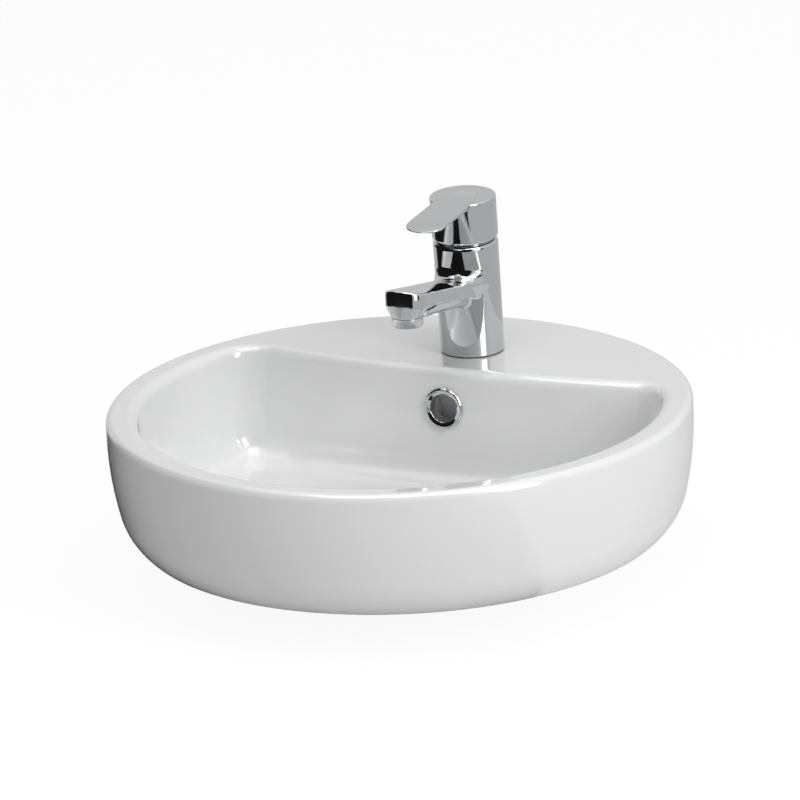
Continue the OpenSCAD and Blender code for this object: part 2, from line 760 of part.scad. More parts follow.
// Cartridge housing, open below for the discs and above for the rotor
module cartridge_housing() {
    color("whitesmoke") leaning() difference() {
        translate([0, 0, disc_s]) cylinder(d = cartridge_d - 0.1, h = rotor_top - disc_s + 0.3);
        translate([0, 0, disc_s - past]) cylinder(r = disc_bore_r, h = carrier_top + 0.4 - disc_s + past);
        translate([0, 0, disc_s]) cylinder(r = rotor_r + running_gap, h = tap_body_h);
    }
}

// Rotor that turns with the lever and holds the spindle's pin
module cartridge_rotor() {
    slot_w = spindle_square + 0.2;
    color("slategray") leaning() difference() {
        translate([0, 0, rotor_s]) cylinder(r = rotor_r, h = rotor_top - rotor_s);
        translate([-slot_w / 2, -7.4, rotor_s - past])
            cube([slot_w, 14.8, rotor_top - rotor_s + 2 * past]);
        translate([-rotor_r - past, 0, pivot_s]) rotate([0, 90, 0])
            cylinder(d = pin_d, h = 2 * rotor_r + 2 * past);
    }
}

// Pin that the spindle tilts on
module pivot_pin() {
    color("silver") leaning() translate([1 - rotor_r, 0, pivot_s]) rotate([0, 90, 0])
        cylinder(d = pin_d, h = 2 * rotor_r - 2);
}

// Spindle: a square head for the lever, a pivot and a ball that moves the discs
module spindle() {
    half = spindle_square / 2;
    boss = half + 0.2;
    color("gray") leaning() difference() {
        union() {
            translate([-half, -half, pivot_s]) cube([spindle_square, spindle_square, spindle_top - pivot_s]);
            translate([-half, 0, pivot_s]) rotate([0, 90, 0]) cylinder(r = boss, h = spindle_square);
            translate([0, 0, ball_s]) cylinder(r = 2.2, h = spindle_arm);
            translate([0, 0, ball_s]) sphere(r = ball_r, $fn = 32);
        }
        translate([-half - past, 0, pivot_s]) rotate([0, 90, 0])
            cylinder(d = pin_d + 2 * running_gap, h = spindle_square + 2 * past);
    }
}

// Brass nut that clamps the cartridge in the body
module cartridge_nut() {
    color("gold") leaning() translate([0, 0, nut_s]) difference() {
        cylinder(r = nut_r, h = nut_h);
        translate([0, 0, -past]) cylinder(r = nut_bore_r, h = nut_h + 2 * past);
        for (a = [0:60:120]) rotate([0, 0, a]) translate([-nut_r - past, -2, nut_h - 3])
            cube([2 * nut_r + 2 * past, 4, 3 + past]);
    }
}

// Chromed ring that covers the nut under the lever
module dome_ring() {
    low_r = tap_top_d / 2 - 2.3;
    hole_r = 15.2;
    color("silver") leaning() translate([0, 0, tap_body_h]) rotate_extrude()
        polygon([[nut_r - 1, nut_h + nut_s - tap_body_h + 0.2], [nut_r, nut_h + nut_s - tap_body_h + 0.2],
            [nut_r, 0], [low_r, 0], [low_r, 0.6], [hole_r, 3.2], [hole_r, 1.9], [nut_r - 1, -0.4]]);
}

// Lever: a hollow cap over the cartridge with a leaf-shaped blade towards the user
module lever() {
    lower = 0.8;
    inner_r = cap_r - cap_wall;
    hollow_h = cap_h - cap_top_t;
    tip_r = blade_w / 2 - 2;
    color("silver") leaning() difference() {
        union() {
            difference() {
                rotate_extrude() polygon(concat(
                    [[0, cap_s], [cap_r - lower, cap_s], [cap_r, cap_s + lower]],
                    arc([cap_r - 1.2, cap_s + cap_h - 1.2], 1.2, 0, 90), [[0, cap_s + cap_h]]));
                translate([0, 0, cap_s - past]) cylinder(r = inner_r, h = hollow_h + past);
            }
            translate([0, 0, boss_s]) cylinder(r = boss_r, h = cap_s + cap_h - boss_s - past);
            hull() {
                translate([0, -9, cap_s + cap_h - 2]) cylinder(r = 11, h = 2.6, $fn = 48);
                translate([0, -36, cap_s + cap_h - 2.5]) cylinder(r = blade_w / 2, h = 3.6, $fn = 48);
                translate([0, tip_r - blade_reach, cap_s + cap_h - 3.4])
                    cylinder(r = tip_r, h = blade_tip_t, $fn = 48);
            }
        }
        translate([-spindle_square / 2 - 0.05, -spindle_square / 2 - 0.05, boss_s - past])
            cube([spindle_square + 0.1, spindle_square + 0.1, spindle_top - boss_s + 0.5 + past]);
        translate([0, 0, screw_s]) rotate([-90, 0, 0]) cylinder(d = 5, h = boss_r + past);
        translate([0, boss_r, screw_s]) rotate([-90, 0, 0]) cylinder(d = 6, h = cap_r);
    }
}

// Set screw that grips the spindle
module lever_screw() {
    start = spindle_square / 2;
    length = 6;
    color("dimgray") leaning() translate([0, start, screw_s]) rotate([-90, 0, 0]) difference() {
        cylinder(d = 5 - 2 * running_gap, h = length);
        translate([0, 0, length - 2.5]) cylinder(d = 2.5 / cos(30), h = 3, $fn = 6);
    }
}

// Small plug that closes the hole of the screw
module lever_plug() {
    color("silver") leaning() translate([0, cap_r - cap_wall, screw_s]) rotate([-90, 0, 0])
        cylinder(d = 5.9, h = cap_wall - 0.2);
}

basin();
overflow_ring();
waste_body();
waste_gasket();
waste_seal();
slip_washer();
backnut();
click_barrel();
click_spring();
plug_stem();
plug_cap();
plug_seal();
tap_body();
tap_base_seal();
tap_stud();
horseshoe_seal();
horseshoe_plate();
stud_nut();
aerator_housing();
aerator_insert();
aerator_seal();
cartridge_base();
cartridge_seals();
fixed_disc();
moving_disc();
disc_carrier();
cartridge_housing();
cartridge_rotor();
pivot_pin();
spindle();
cartridge_nut();
dome_ring();
lever();
lever_screw();
lever_plug();
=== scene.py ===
import json
import math

import bmesh
import bpy
import numpy as np
from mathutils import Matrix, Vector


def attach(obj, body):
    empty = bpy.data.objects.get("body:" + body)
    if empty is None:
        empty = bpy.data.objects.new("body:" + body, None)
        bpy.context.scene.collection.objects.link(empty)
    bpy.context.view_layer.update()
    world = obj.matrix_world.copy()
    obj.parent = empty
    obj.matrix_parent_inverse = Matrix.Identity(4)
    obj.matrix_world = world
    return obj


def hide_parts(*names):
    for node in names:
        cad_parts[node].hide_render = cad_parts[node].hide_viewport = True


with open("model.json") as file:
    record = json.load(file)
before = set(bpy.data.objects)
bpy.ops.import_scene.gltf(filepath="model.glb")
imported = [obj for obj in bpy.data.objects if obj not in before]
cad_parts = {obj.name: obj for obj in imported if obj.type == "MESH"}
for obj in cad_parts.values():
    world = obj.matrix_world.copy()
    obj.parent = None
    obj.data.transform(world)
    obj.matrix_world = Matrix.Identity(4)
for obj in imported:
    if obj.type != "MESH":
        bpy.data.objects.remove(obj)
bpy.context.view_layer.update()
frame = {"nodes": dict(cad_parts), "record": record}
nodes = frame["nodes"]

# Camera
# A long lens stands in front and to the right, a little above the rim, and is turned a few degrees.
# Its place was solved from the outlines of the rim, the bowl and the side.
camera_azimuth, camera_elevation, camera_roll = (math.radians(a) for a in (26.0, 17.94, -2.76))
camera_distance = 5.197
focal_px = 6945
frame_px = 800
rim_centre = Vector((0, 0, 0.130))
rim_px = (398.96, 400.99)

level_right = Vector((math.cos(camera_azimuth), math.sin(camera_azimuth), 0))
towards_camera = Vector((math.sin(camera_azimuth) * math.cos(camera_elevation),
                         -math.cos(camera_azimuth) * math.cos(camera_elevation),
                         math.sin(camera_elevation)))
level_up = towards_camera.cross(level_right)
right = math.cos(camera_roll) * level_right + math.sin(camera_roll) * level_up
up = math.cos(camera_roll) * level_up - math.sin(camera_roll) * level_right
off_right = (rim_px[0] - frame_px / 2) / focal_px * camera_distance
off_up = (frame_px / 2 - rim_px[1]) / focal_px * camera_distance
camera_data = bpy.data.cameras.new("camera")
camera_data.sensor_width = 36
camera_data.lens = focal_px / frame_px * camera_data.sensor_width
camera_data.clip_end = 60
camera = bpy.data.objects.new("camera", camera_data)
bpy.context.scene.collection.objects.link(camera)
camera.matrix_world = Matrix((right, up, towards_camera)).transposed().to_4x4()
camera.location = rim_centre + towards_camera * camera_distance - right * off_right - up * off_up
bpy.context.scene.camera = camera
bpy.context.scene.view_settings.view_transform = "Standard"

# Basin
# One piece of white sanitary ceramic, slip cast, glazed all over but for the ring that it stands on.
# A round body with a D-shaped bowl, a deck behind it for the tap, and hollows under deck and foot.
MM = 0.001
rim_r, rim_z, rim_round, bowl_round = 220, 130, 6, 9
bowl_r, bowl_corner, back_bow, back_y = 196, 26, 1050, 79
wall_lean, floor_fillet, floor_z, drain_z = 4, 20, 44, 42.5
recess_r, recess_z, waste_hole_r = 32.25, 40.5, 22.75
seat_z, channel_z, channel_top_z = 20.5, 25.5, 32.5
# centre and radius of the side's three arcs, and the angles where they meet
side_c, side_curve, turn_c, turn_curve = (-42, 116.5), 262, (167.48, 68.1), 47
edge_c, edge_curve, side_from, turn_from = (193.63, 35.23), 5, -13.01, -51.5
foot_r, foot_slope, under_slope = 102, math.radians(20), math.radians(14)
shell, foot_recess_r, void_r, void_z, collar_out_r = 10, 92, 158, 34, 41.5
deck_void_half, duct_half, duct_y, deck_under_z = 148, 18, 105, 118
overflow_y, overflow_z, overflow_hole_r = 77.49, 100, 12.5
tap_y, tap_hole_r = 133, 17.5


class Value:
    """A socket in a material, on which Python's signs add Math nodes."""

    def __init__(self, tree, socket=None):
        self.tree, self.socket = tree, socket

    def node(self, kind, settings, sockets, out=0):
        """Adds a node: its type, its settings, then the values or links of its sockets."""
        made = self.tree.nodes.new("ShaderNode" + kind)
        for name, value in settings.items():
            setattr(made, name, value)
        for name, value in sockets.items():
            if isinstance(value, Value):
                self.tree.links.new(value.socket, made.inputs[name])
            else:
                made.inputs[name].default_value = value
        return Value(self.tree, made.outputs[out])

    def math(self, operation, first, second):
        return self.node("Math", {"operation": operation}, {0: first, 1: second})

    def __add__(self, other):
        return self.math("ADD", self, other)

    def __sub__(self, other):
        return self.math("SUBTRACT", self, other)

    def __mul__(self, other):
        return self.math("MULTIPLY", self, other)

    def __truediv__(self, other):
        return self.math("DIVIDE", self, other)

    def __rsub__(self, other):
        return self.math("SUBTRACT", other, self)

    __radd__, __rmul__ = __add__, __mul__

    def step(self, start, end):
        """0 before start, 1 after end, and smooth between them."""
        return self.node("MapRange", {"interpolation_type": "SMOOTHSTEP"},
                         {"Value": self, "From Min": start, "From Max": end})

    def blend(self, low, high):
        """A colour between low and high by this value."""
        return self.node("Mix", {"data_type": "RGBA"}, {"Factor": self, 6: (*low, 1), 7: (*high, 1)}, 2)


class Finish(Value):
    """A material with its Principled shader. Its constants are set on the shader's own sockets."""

    def __init__(self, name, **constants):
        self.material = bpy.data.materials.new(name)
        self.material.use_nodes = True
        super().__init__(self.material.node_tree)
        self.shader = self.tree.nodes["Principled BSDF"]
        for socket, value in constants.items():
            self.shader.inputs[socket.replace("_", " ")].default_value = value
        self.place = self.node("TexCoord", {}, {}, "Object")

    def noise(self, size, detail=2.0):
        """Noise with lumps of that size in metres."""
        return self.node("TexNoise", {}, {"Vector": self.place, "Scale": 1 / size, "Detail": detail})

    def feed(self, socket, value):
        self.tree.links.new(value.socket, self.shader.inputs[socket])

    def relief(self, height, depth):
        """Bumps of that depth in metres from a height of 0 to 1."""
        self.feed("Normal", self.node("Bump", {}, {"Height": height, "Distance": depth}))


def glaze():
    finish = Finish("glaze", Coat_Roughness=0.02)
    height_z = finish.node("SeparateXYZ", {}, {"Vector": finish.place}, "Z")
    bare = 1 - height_z.step(0.0006, 0.0022)
    flow = finish.noise(0.09, 1.0)
    peel = finish.noise(0.006, 2.0)
    tone = finish.noise(0.05, 3.0).blend((0.826, 0.828, 0.832), (0.842, 0.844, 0.847))
    body = finish.noise(0.0012, 4.0).blend((0.62, 0.57, 0.49), (0.74, 0.70, 0.63))
    finish.feed("Base Color", finish.node("Mix", {"data_type": "RGBA"},
                                          {"Factor": bare, 6: tone, 7: body}, 2))
    finish.feed("Roughness", bare * 0.6 + finish.noise(0.03) * 0.04 + 0.09)
    finish.feed("Coat Weight", (1 - bare) * 0.8)
    finish.relief(flow * 0.85 + peel * 0.02 + bare * finish.noise(0.0008) * 0.2, 0.0003)
    return finish.material


def arc(centre, radius, start, end, steps):
    """Points on an arc between two angles in degrees, with both ends."""
    angles = np.radians(np.linspace(start, end, steps + 1))
    return np.column_stack([centre[0] + radius * np.cos(angles), centre[1] + radius * np.sin(angles)])


def new_tree(name, sizes):
    """An empty Geometry Nodes tree with named inputs, its nodes by name and its input and output."""
    tree = bpy.data.node_groups.new(name, "GeometryNodeTree")
    tree.interface.new_socket("Geometry", in_out="INPUT", socket_type="NodeSocketGeometry")
    for size, kind in sizes.items():
        tree.interface.new_socket(size, in_out="INPUT", socket_type="NodeSocket" + kind)
    tree.interface.new_socket("Geometry", in_out="OUTPUT", socket_type="NodeSocketGeometry")
    return tree, tree.nodes.new("NodeGroupInput").outputs, tree.nodes.new("NodeGroupOutput").inputs


def add(tree, kind, settings, sockets, out=0):
    """Adds a geometry node and returns one of its outputs. Sockets are linked or given a value."""
    made = tree.nodes.new(kind)
    for name, value in settings.items():
        setattr(made, name, value)
    for name, value in sockets.items():
        if isinstance(value, bpy.types.NodeSocket):
            tree.links.new(value, made.inputs[name])
        else:
            made.inputs[name].default_value = value
    return made.outputs[out]


def grow(name, tree, mesh, sizes):
    """Runs a tree on a mesh and returns the plain mesh that comes out."""
    scrap = bpy.data.objects.new(name, mesh)
    bpy.context.scene.collection.objects.link(scrap)
    modifier = scrap.modifiers.new("nodes", "NODES")
    modifier.node_group = tree
    for item in tree.interface.items_tree:
        if item.in_out == "INPUT" and item.name in sizes:
            modifier[item.identifier] = sizes[item.name]
    grown = bpy.data.meshes.new_from_object(scrap.evaluated_get(bpy.context.evaluated_depsgraph_get()))
    bpy.data.objects.remove(scrap)
    grown.name = name
    return grown


wall_tree, wall_in, wall_out = new_tree("carried_outline", {"Size": "Float", "Material": "Material"})
is_path = add(wall_tree, "GeometryNodeInputNamedAttribute", {"data_type": "BOOLEAN"}, {"Name": "is_path"})
parted = add(wall_tree, "GeometryNodeSeparateGeometry", {},
             {"Geometry": wall_in["Geometry"], "Selection": is_path}, 0).node
path_curve = add(wall_tree, "GeometryNodeMeshToCurve", {}, {"Mesh": parted.outputs[0]})
path_curve = add(wall_tree, "GeometryNodeSetCurveNormal", {"mode": "Z_UP"}, {"Curve": path_curve})
outline_curve = add(wall_tree, "GeometryNodeMeshToCurve", {}, {"Mesh": parted.outputs[1]})
skin = add(wall_tree, "GeometryNodeCurveToMesh", {}, {"Curve": path_curve, "Profile Curve": outline_curve})
spread = add(wall_tree, "ShaderNodeCombineXYZ", {},
             {"X": wall_in["Size"], "Y": wall_in["Size"], "Z": wall_in["Size"]})
skin = add(wall_tree, "GeometryNodeTransform", {}, {"Geometry": skin, "Scale": spread})
skin = add(wall_tree, "GeometryNodeRealizeInstances", {}, {"Geometry": skin})
skin = add(wall_tree, "GeometryNodeSetMaterial", {}, {"Geometry": skin, "Material": wall_in["Material"]})
wall_tree.links.new(skin, wall_out["Geometry"])


def carried(name, path, outline, finish):
    """Points of the skin that an outline (outwards, height) makes when it is carried round a path."""
    n, m = len(path), len(outline)
    mesh = bpy.data.meshes.new(name)
    mesh.from_pydata([(*p, 0) for p in path] + [(a, -z, 0) for a, z in outline],
                     [(i, (i + 1) % n) for i in range(n)] + [(n + i, n + i + 1) for i in range(m - 1)], [])
    mesh.attributes.new("is_path", "BOOLEAN", "POINT").data.foreach_set("value", [True] * n + [False] * m)
    grown = grow(name, wall_tree, mesh, {"Size": MM, "Material": finish})
    points = np.zeros(n * m * 3, np.float32)
    grown.vertices.foreach_get("co", points)
    return points.reshape(n, m, 3).transpose(1, 0, 2) / MM


def skin_of(name, rings, finish):
    """A closed skin over rings of points in millimetres, with a fan over its first and last ring."""
    rings = np.asarray(rings, float)
    m, n = rings.shape[:2]
    points = np.vstack([rings.reshape(-1, 3), rings[0].mean(0), rings[-1].mean(0)]) * MM
    k = np.arange(n)
    nxt = (k + 1) % n
    faces = [np.column_stack([r * n + k, r * n + nxt, (r + 1) * n + nxt, (r + 1) * n + k])
             for r in range(m - 1)]
    faces = [tuple(f) for f in np.vstack(faces)] + [(m * n, b, a) for a, b in zip(k, nxt)]
    faces += [(m * n + 1, (m - 1) * n + a, (m - 1) * n + b) for a, b in zip(k, nxt)]
    mesh = bpy.data.meshes.new(name)
    mesh.from_pydata([tuple(p) for p in points], [], faces)
    mesh.materials.append(finish)
    return outward(mesh)


def outward(mesh):
    """Turns a closed mesh's faces outwards."""
    bm = bmesh.new()
    bm.from_mesh(mesh)
    bmesh.ops.recalc_face_normals(bm, faces=bm.faces)
    if bm.calc_volume(signed=True) < 0:
        bmesh.ops.reverse_faces(bm, faces=bm.faces)
    bm.to_mesh(mesh)
    bm.free()
    return mesh


def shown(name, mesh):
    thing = bpy.data.objects.new(name, mesh)
    bpy.context.scene.collection.objects.link(thing)
    return thing


def combined(mesh, operation, *others):
    """The mesh after Booleans with the others, one after another."""
    thing = shown(mesh.name, mesh)
    for other in others:
        cutter = shown("cutter", other)
        modifier = thing.modifiers.new("cut", "BOOLEAN")
        modifier.operation, modifier.solver, modifier.object = operation, "MANIFOLD", cutter
        done = bpy.data.meshes.new_from_object(thing.evaluated_get(bpy.context.evaluated_depsgraph_get()))
        thing.modifiers.clear()
        thing.data = done
        bpy.data.objects.remove(cutter)
    done = thing.data
    bpy.data.objects.remove(thing)
    return done


def smoothed(mesh, sharp=35):
    """Smooth shading that stays flat on the flats and keeps edges above an angle sharp."""
    mesh.shade_smooth()
    mesh.set_sharp_from_angle(angle=math.radians(sharp))
    thing = shown(mesh.name, mesh)
    modifier = thing.modifiers.new("weighted", "WEIGHTED_NORMAL")
    modifier.keep_sharp, modifier.mode, modifier.weight = True, "FACE_AREA", 100
    done = bpy.data.meshes.new_from_object(thing.evaluated_get(bpy.context.evaluated_depsgraph_get()))
    bpy.data.objects.remove(thing)
    return done


def block(low, high, finish):
    """A box between two corners in millimetres, for cutting."""
    (x0, y0, z0), (x1, y1, z1) = low, high
    return skin_of("block", [[(x0, y0, z), (x1, y0, z), (x1, y1, z), (x0, y1, z)] for z in (z0, z1)], finish)


def drum(radii, finish, steps=96, centre=(0, 0)):
    """A turned solid with its axis upright, from pairs of radius and height in millimetres."""
    turn = np.linspace(0, 2 * math.pi, steps, endpoint=False)
    return skin_of("drum", [np.column_stack([centre[0] + r * np.cos(turn), centre[1] + r * np.sin(turn),
                                             np.full(steps, z)]) for r, z in radii], finish)


def basin_rings(finish):
    corner_y = ((bowl_r - bowl_corner) ** 2 - (back_bow + bowl_corner) ** 2 + (back_y + back_bow) ** 2) \
        / (2 * (back_y + back_bow))
    corner_x = math.sqrt((bowl_r - bowl_corner) ** 2 - corner_y ** 2)
    front_end = math.degrees(math.atan2(corner_y, corner_x))
    back_end = math.degrees(math.atan2(corner_y - back_y - back_bow, corner_x))
    # the plan starts and ends at the left corner: round front, corner, bowed back, corner
    plan = np.vstack([
        arc((0, 0), bowl_r, 180 - front_end, 360 + front_end, 196)[1:],
        arc((corner_x, corner_y), bowl_corner, front_end, 180 + back_end, 34)[1:],
        arc((0, back_y + back_bow), back_bow, back_end, -180 - back_end, 56)[1:],
        arc((-corner_x, corner_y), bowl_corner, -back_end, 180 - front_end, 34)[1:]])
    lean = math.radians(wall_lean)
    rise = (rim_z - floor_z - (bowl_round + floor_fillet) * (1 - math.sin(lean)))
    fillet_c = (-(rise * math.tan(lean) + floor_fillet * math.cos(lean)), floor_z + floor_fillet)
    rim_c = (bowl_round * math.cos(lean), rim_z - bowl_round)
    wall = np.vstack([arc(rim_c, bowl_round, 90, 180 - wall_lean, 12),
                      arc(fillet_c, floor_fillet, -wall_lean, -90, 18)])
    top, foot = wall[12], wall[13]
    wall = np.vstack([wall[:13], [top + (foot - top) * t for t in (0.25, 0.5, 0.75)], wall[13:]])
    bowl = carried("bowl_skin", plan, wall, finish)
    # the outside, from the middle of the foot up to the flat of the rim
    edge_end = (edge_c[0] + edge_curve * math.sin(under_slope),
                edge_c[1] - edge_curve * math.cos(under_slope))
    foot_top_r = (edge_end[1] - edge_end[0] * math.tan(under_slope) + foot_r / math.tan(foot_slope)) \
        / (1 / math.tan(foot_slope) - math.tan(under_slope))
    foot_top_z = (foot_top_r - foot_r) / math.tan(foot_slope)
    outside = rounded([(30, 0, 0), (88, 0, 0), (foot_r, 0, 2), (foot_top_r, foot_top_z, 4), (*edge_end, 0)])
    outside = np.vstack([outside, arc(edge_c, edge_curve, -76, turn_from, 4)[1:],
                         arc(turn_c, turn_curve, turn_from, side_from, 20)[1:],
                         arc(side_c, side_curve, side_from, 0, 12)[1:],
                         arc((rim_r - rim_round, rim_z - rim_round), rim_round, 0, 90, 10)])
    polar = np.arctan2(bowl[0][:, 1], bowl[0][:, 0])
    outer = [np.column_stack([r * np.cos(polar), r * np.sin(polar), np.full(len(polar), z)])
             for r, z in outside]
    flat = [outer[-1] + (bowl[0] - outer[-1]) * t for t in (0.25, 0.5, 0.75)]
    # the floor runs from the foot of the walls to the round recess of the waste
    last = bowl[-1]
    polar = np.arctan2(last[:, 1], last[:, 0])
    drain = np.column_stack([recess_r * np.cos(polar), recess_r * np.sin(polar),
                             np.full(len(polar), drain_z + 0.3)])
    shares = (0.04, 0.12, 0.25, 0.4, 0.55, 0.7, 0.85, 0.95, 1)
    floor = [last + (drain - last) * t for t in shares]
    for ring, t in zip(floor, shares):
        ring[:, 2] = floor_z - (floor_z - drain_z - 0.3) * t * t * (3 - 2 * t)
    lip = [drain * [1 - 0.3 / recess_r, 1 - 0.3 / recess_r, 1] - [0, 0, 0.15],
           drain * [1 - 0.7 / recess_r, 1 - 0.7 / recess_r, 1] - [0, 0, 0.8]]
    foot_ring = drain * [0.97, 0.97, 0]
    foot_ring[:, 2] = recess_z
    deep = [foot_ring, foot_ring * [0.5, 0.5, 1]]
    return np.array([*outer, *flat, *bowl, *floor, *lip, *deep])


def rounded(corners):
    """An outline through corners (x, z, radius), each rounded by a true arc."""
    points, steps = [], 5
    for i, (x, z, radius) in enumerate(corners):
        here = np.array([x, z], float)
        if radius == 0 or i in (0, len(corners) - 1):
            points.append(here)
            continue
        back = np.array(corners[i - 1][:2], float) - here
        on = np.array(corners[i + 1][:2], float) - here
        back, on = back / np.linalg.norm(back), on / np.linalg.norm(on)
        half = math.acos(max(-1, min(1, back @ on))) / 2
        middle = here + (back + on) / np.linalg.norm(back + on) * radius / math.sin(half)
        start = here + back * radius / math.tan(half) - middle
        end = here + on * radius / math.tan(half) - middle
        turn = math.acos(max(-1, min(1, start @ end / radius ** 2)))
        for k in range(steps + 1):
            t = k / steps
            swing = start * math.sin((1 - t) * turn) + end * math.sin(t * turn)
            points.append(middle + swing / math.sin(turn))
    return np.array(points)


def between(name, levels, front, outer_r, half_width, duct_half, finish):
    """A solid between a front edge and a round back at each level, for cutting the hollow under the deck."""
    x = np.concatenate([np.linspace(-half_width, -duct_half, 24), np.linspace(-duct_half, duct_half, 9),
                        np.linspace(duct_half, half_width, 24)])
    rings = []
    for z, r in zip(levels, outer_r):
        near = [(a, front(a, 24 <= i < 33), z) for i, a in enumerate(x)]
        far = [(a, math.sqrt(r * r - a * a), z) for a in np.linspace(half_width, -half_width, 57)]
        rings.append(near + far)
    return skin_of(name, rings, finish)


glazed = glaze()
basin_mesh = skin_of("basin_ceramic", basin_rings(glazed), glazed)
inner_side = np.vstack([arc(turn_c, turn_curve - shell, turn_from, side_from, 8),
                        arc(side_c, side_curve - shell, side_from, 0, 4)[1:]])
inner_side = inner_side[inner_side[:, 1] > 45]
deck_void = between("deck_void", [30.4, *inner_side[:, 1], deck_under_z], lambda a, duct: duct_y if duct
                    else back_y + back_bow - math.sqrt((back_bow - shell) ** 2 - a * a),
                    [max(184, inner_side[0, 0] - 8), *inner_side[:, 0], rim_r - shell], deck_void_half,
                    duct_half, glazed)
deck_mouth = between("deck_mouth", [-1, 31], lambda a, duct: duct_y + 0.3 if duct else 104, [174.8, 174.8],
                     140.2, duct_half + 0.3, glazed)
foot_void = drum([(foot_recess_r, -1), (foot_recess_r, 15.5), (foot_r, 17.5), (void_r, 31.5),
                  (void_r, void_z), (collar_out_r, void_z), (collar_out_r, seat_z)], glazed, 128)
rib = block((-17.7, 25, seat_z + 0.4), (17.7, 104.7, 37), glazed)
way = block((-12, 89, channel_z), (12, 99, 112.5), glazed)
way_under = block((-11.8, 3, channel_z + 0.2), (11.8, 90.3, channel_top_z - 0.2), glazed)
overflow_frame = Matrix.Translation((0, overflow_y, overflow_z)) \
    @ Matrix.Rotation(math.radians(90 - wall_lean), 4, "X")
in_overflow = Matrix.Scale(MM, 4) @ overflow_frame @ Matrix.Scale(1 / MM, 4)
overflow_cut = drum([(overflow_hole_r, -14), (overflow_hole_r, 12)], glazed, 64)
overflow_cut.transform(in_overflow)
tap_hole = drum([(tap_hole_r, 108.3), (tap_hole_r, 140.7)], glazed, 90, (0, tap_y))
basin_mesh = combined(basin_mesh, "DIFFERENCE", tap_hole, foot_void, deck_void, deck_mouth)
basin_mesh = combined(basin_mesh, "UNION", rib)
basin_mesh = combined(basin_mesh, "DIFFERENCE", way, way_under, overflow_cut,
                      drum([(waste_hole_r, 10), (waste_hole_r, 60)], glazed))
basin = shown("basin_ceramic", smoothed(basin_mesh, 30))
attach(basin, "basin")
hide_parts("basin")

# Overflow ring
# A chromed brass ring with a rolled face and a short sleeve, pushed into the hole in the bowl's back wall.
# Water that rises to it runs down a duct behind the wall to the waste.
turned_tree, turned_in, turned_out = new_tree("turned", {
    "Path Radius": "Float", "Steps": "Int", "Thread Radius": "Float", "Thread Bottom": "Float",
    "Thread Top": "Float", "Thread Pitch": "Float", "Thread Depth": "Float", "Material": "Material"})
outline_curve = add(turned_tree, "GeometryNodeMeshToCurve", {}, {"Mesh": turned_in["Geometry"]})
path_curve = add(turned_tree, "GeometryNodeCurvePrimitiveCircle", {"mode": "RADIUS"},
                 {"Resolution": turned_in["Steps"], "Radius": turned_in["Path Radius"]})
path_curve = add(turned_tree, "GeometryNodeSetCurveNormal", {"mode": "Z_UP"}, {"Curve": path_curve})
skin = add(turned_tree, "GeometryNodeCurveToMesh", {}, {"Curve": path_curve, "Profile Curve": outline_curve})
skin = add(turned_tree, "GeometryNodeMergeByDistance", {}, {"Geometry": skin, "Distance": 2e-6})
# a thread winds round the points at its radius: they move in towards the axis between its crests
spot = Value(turned_tree, add(turned_tree, "GeometryNodeInputPosition", {}, {}))
spot_parts = spot.node("SeparateXYZ", {}, {"Vector": spot}).socket.node.outputs
spot_x, spot_y, spot_z = (Value(turned_tree, spot_parts[axis]) for axis in "XYZ")
bottom, top, pitch = (Value(turned_tree, turned_in["Thread " + a]) for a in ("Bottom", "Top", "Pitch"))
square = spot_x * spot_x + spot_y * spot_y
spot_r = square.math("SQRT", square, 0)
turns = spot_z / pitch - spot_x.math("ARCTAN2", spot_y, spot_x) * (0.5 / math.pi)
groove = 0.5 - turns.math("COSINE", turns * (2 * math.pi), 0) * 0.5
runout = spot_z.step(bottom, bottom + pitch) * (1 - spot_z.step(top - pitch, top))
on_thread = spot_r.math("GREATER_THAN", spot_r, Value(turned_tree, turned_in["Thread Radius"]) - 0.00005)
inwards = groove * runout * on_thread * Value(turned_tree, turned_in["Thread Depth"]) / spot_r * -1
pull = inwards.node("CombineXYZ", {}, {"X": spot_x * inwards, "Y": spot_y * inwards})
skin = add(turned_tree, "GeometryNodeSetPosition", {}, {"Geometry": skin, "Offset": pull.socket})
skin = add(turned_tree, "GeometryNodeRealizeInstances", {}, {"Geometry": skin})
skin = add(turned_tree, "GeometryNodeSetMaterial", {}, {"Geometry": skin, "Material": turned_in["Material"]})
turned_tree.links.new(skin, turned_out["Geometry"])


def turned(name, corners, finish, steps=96, closed=True, place=None, thread=None):
    """A turned piece from corners (radius, height, rounding) in millimetres. A closed outline is a ring.

    A thread is given by its radius, bottom, top, pitch and depth.
    """
    if closed:
        # the outline starts in the middle of its first side
        first, last = np.array(corners[0][:2]), np.array(corners[-1][:2])
        start = (*((first + last) / 2), 0)
        outline = rounded([start, *corners, start])[:-1]
    else:
        outline = rounded(corners)
    thread = thread or (100000, 0, 1, 1, 0)
    pieces = []
    for here, after in zip(outline, [*outline[1:], outline[0]]):
        # along the thread there are 12 points for each turn
        along = min(here[0], after[0]) > thread[0] - 0.05
        count = int(abs(after[1] - here[1]) * 12 / thread[3]) + 2 if along else 2
        pieces.append(np.linspace(here, after, count)[:-1])
    outline = np.vstack(pieces)
    if not closed:
        outline = outline[:len(outline) - len(pieces[-1]) + 1]
    path_r = 30
    mesh = bpy.data.meshes.new(name)
    m = len(outline)
    mesh.from_pydata([((r - path_r) * MM, -z * MM, 0) for r, z in outline],
                     [(i, (i + 1) % m) for i in range(m if closed else m - 1)], [])
    sizes = dict(zip(("Radius", "Bottom", "Top", "Pitch", "Depth"), thread))
    mesh = outward(grow(name, turned_tree, mesh, {
        "Path Radius": path_r * MM, "Steps": steps, "Material": finish,
        **{"Thread " + size: value * MM for size, value in sizes.items()}}))
    if place is not None:
        mesh.transform(place)
    return smoothed(mesh)


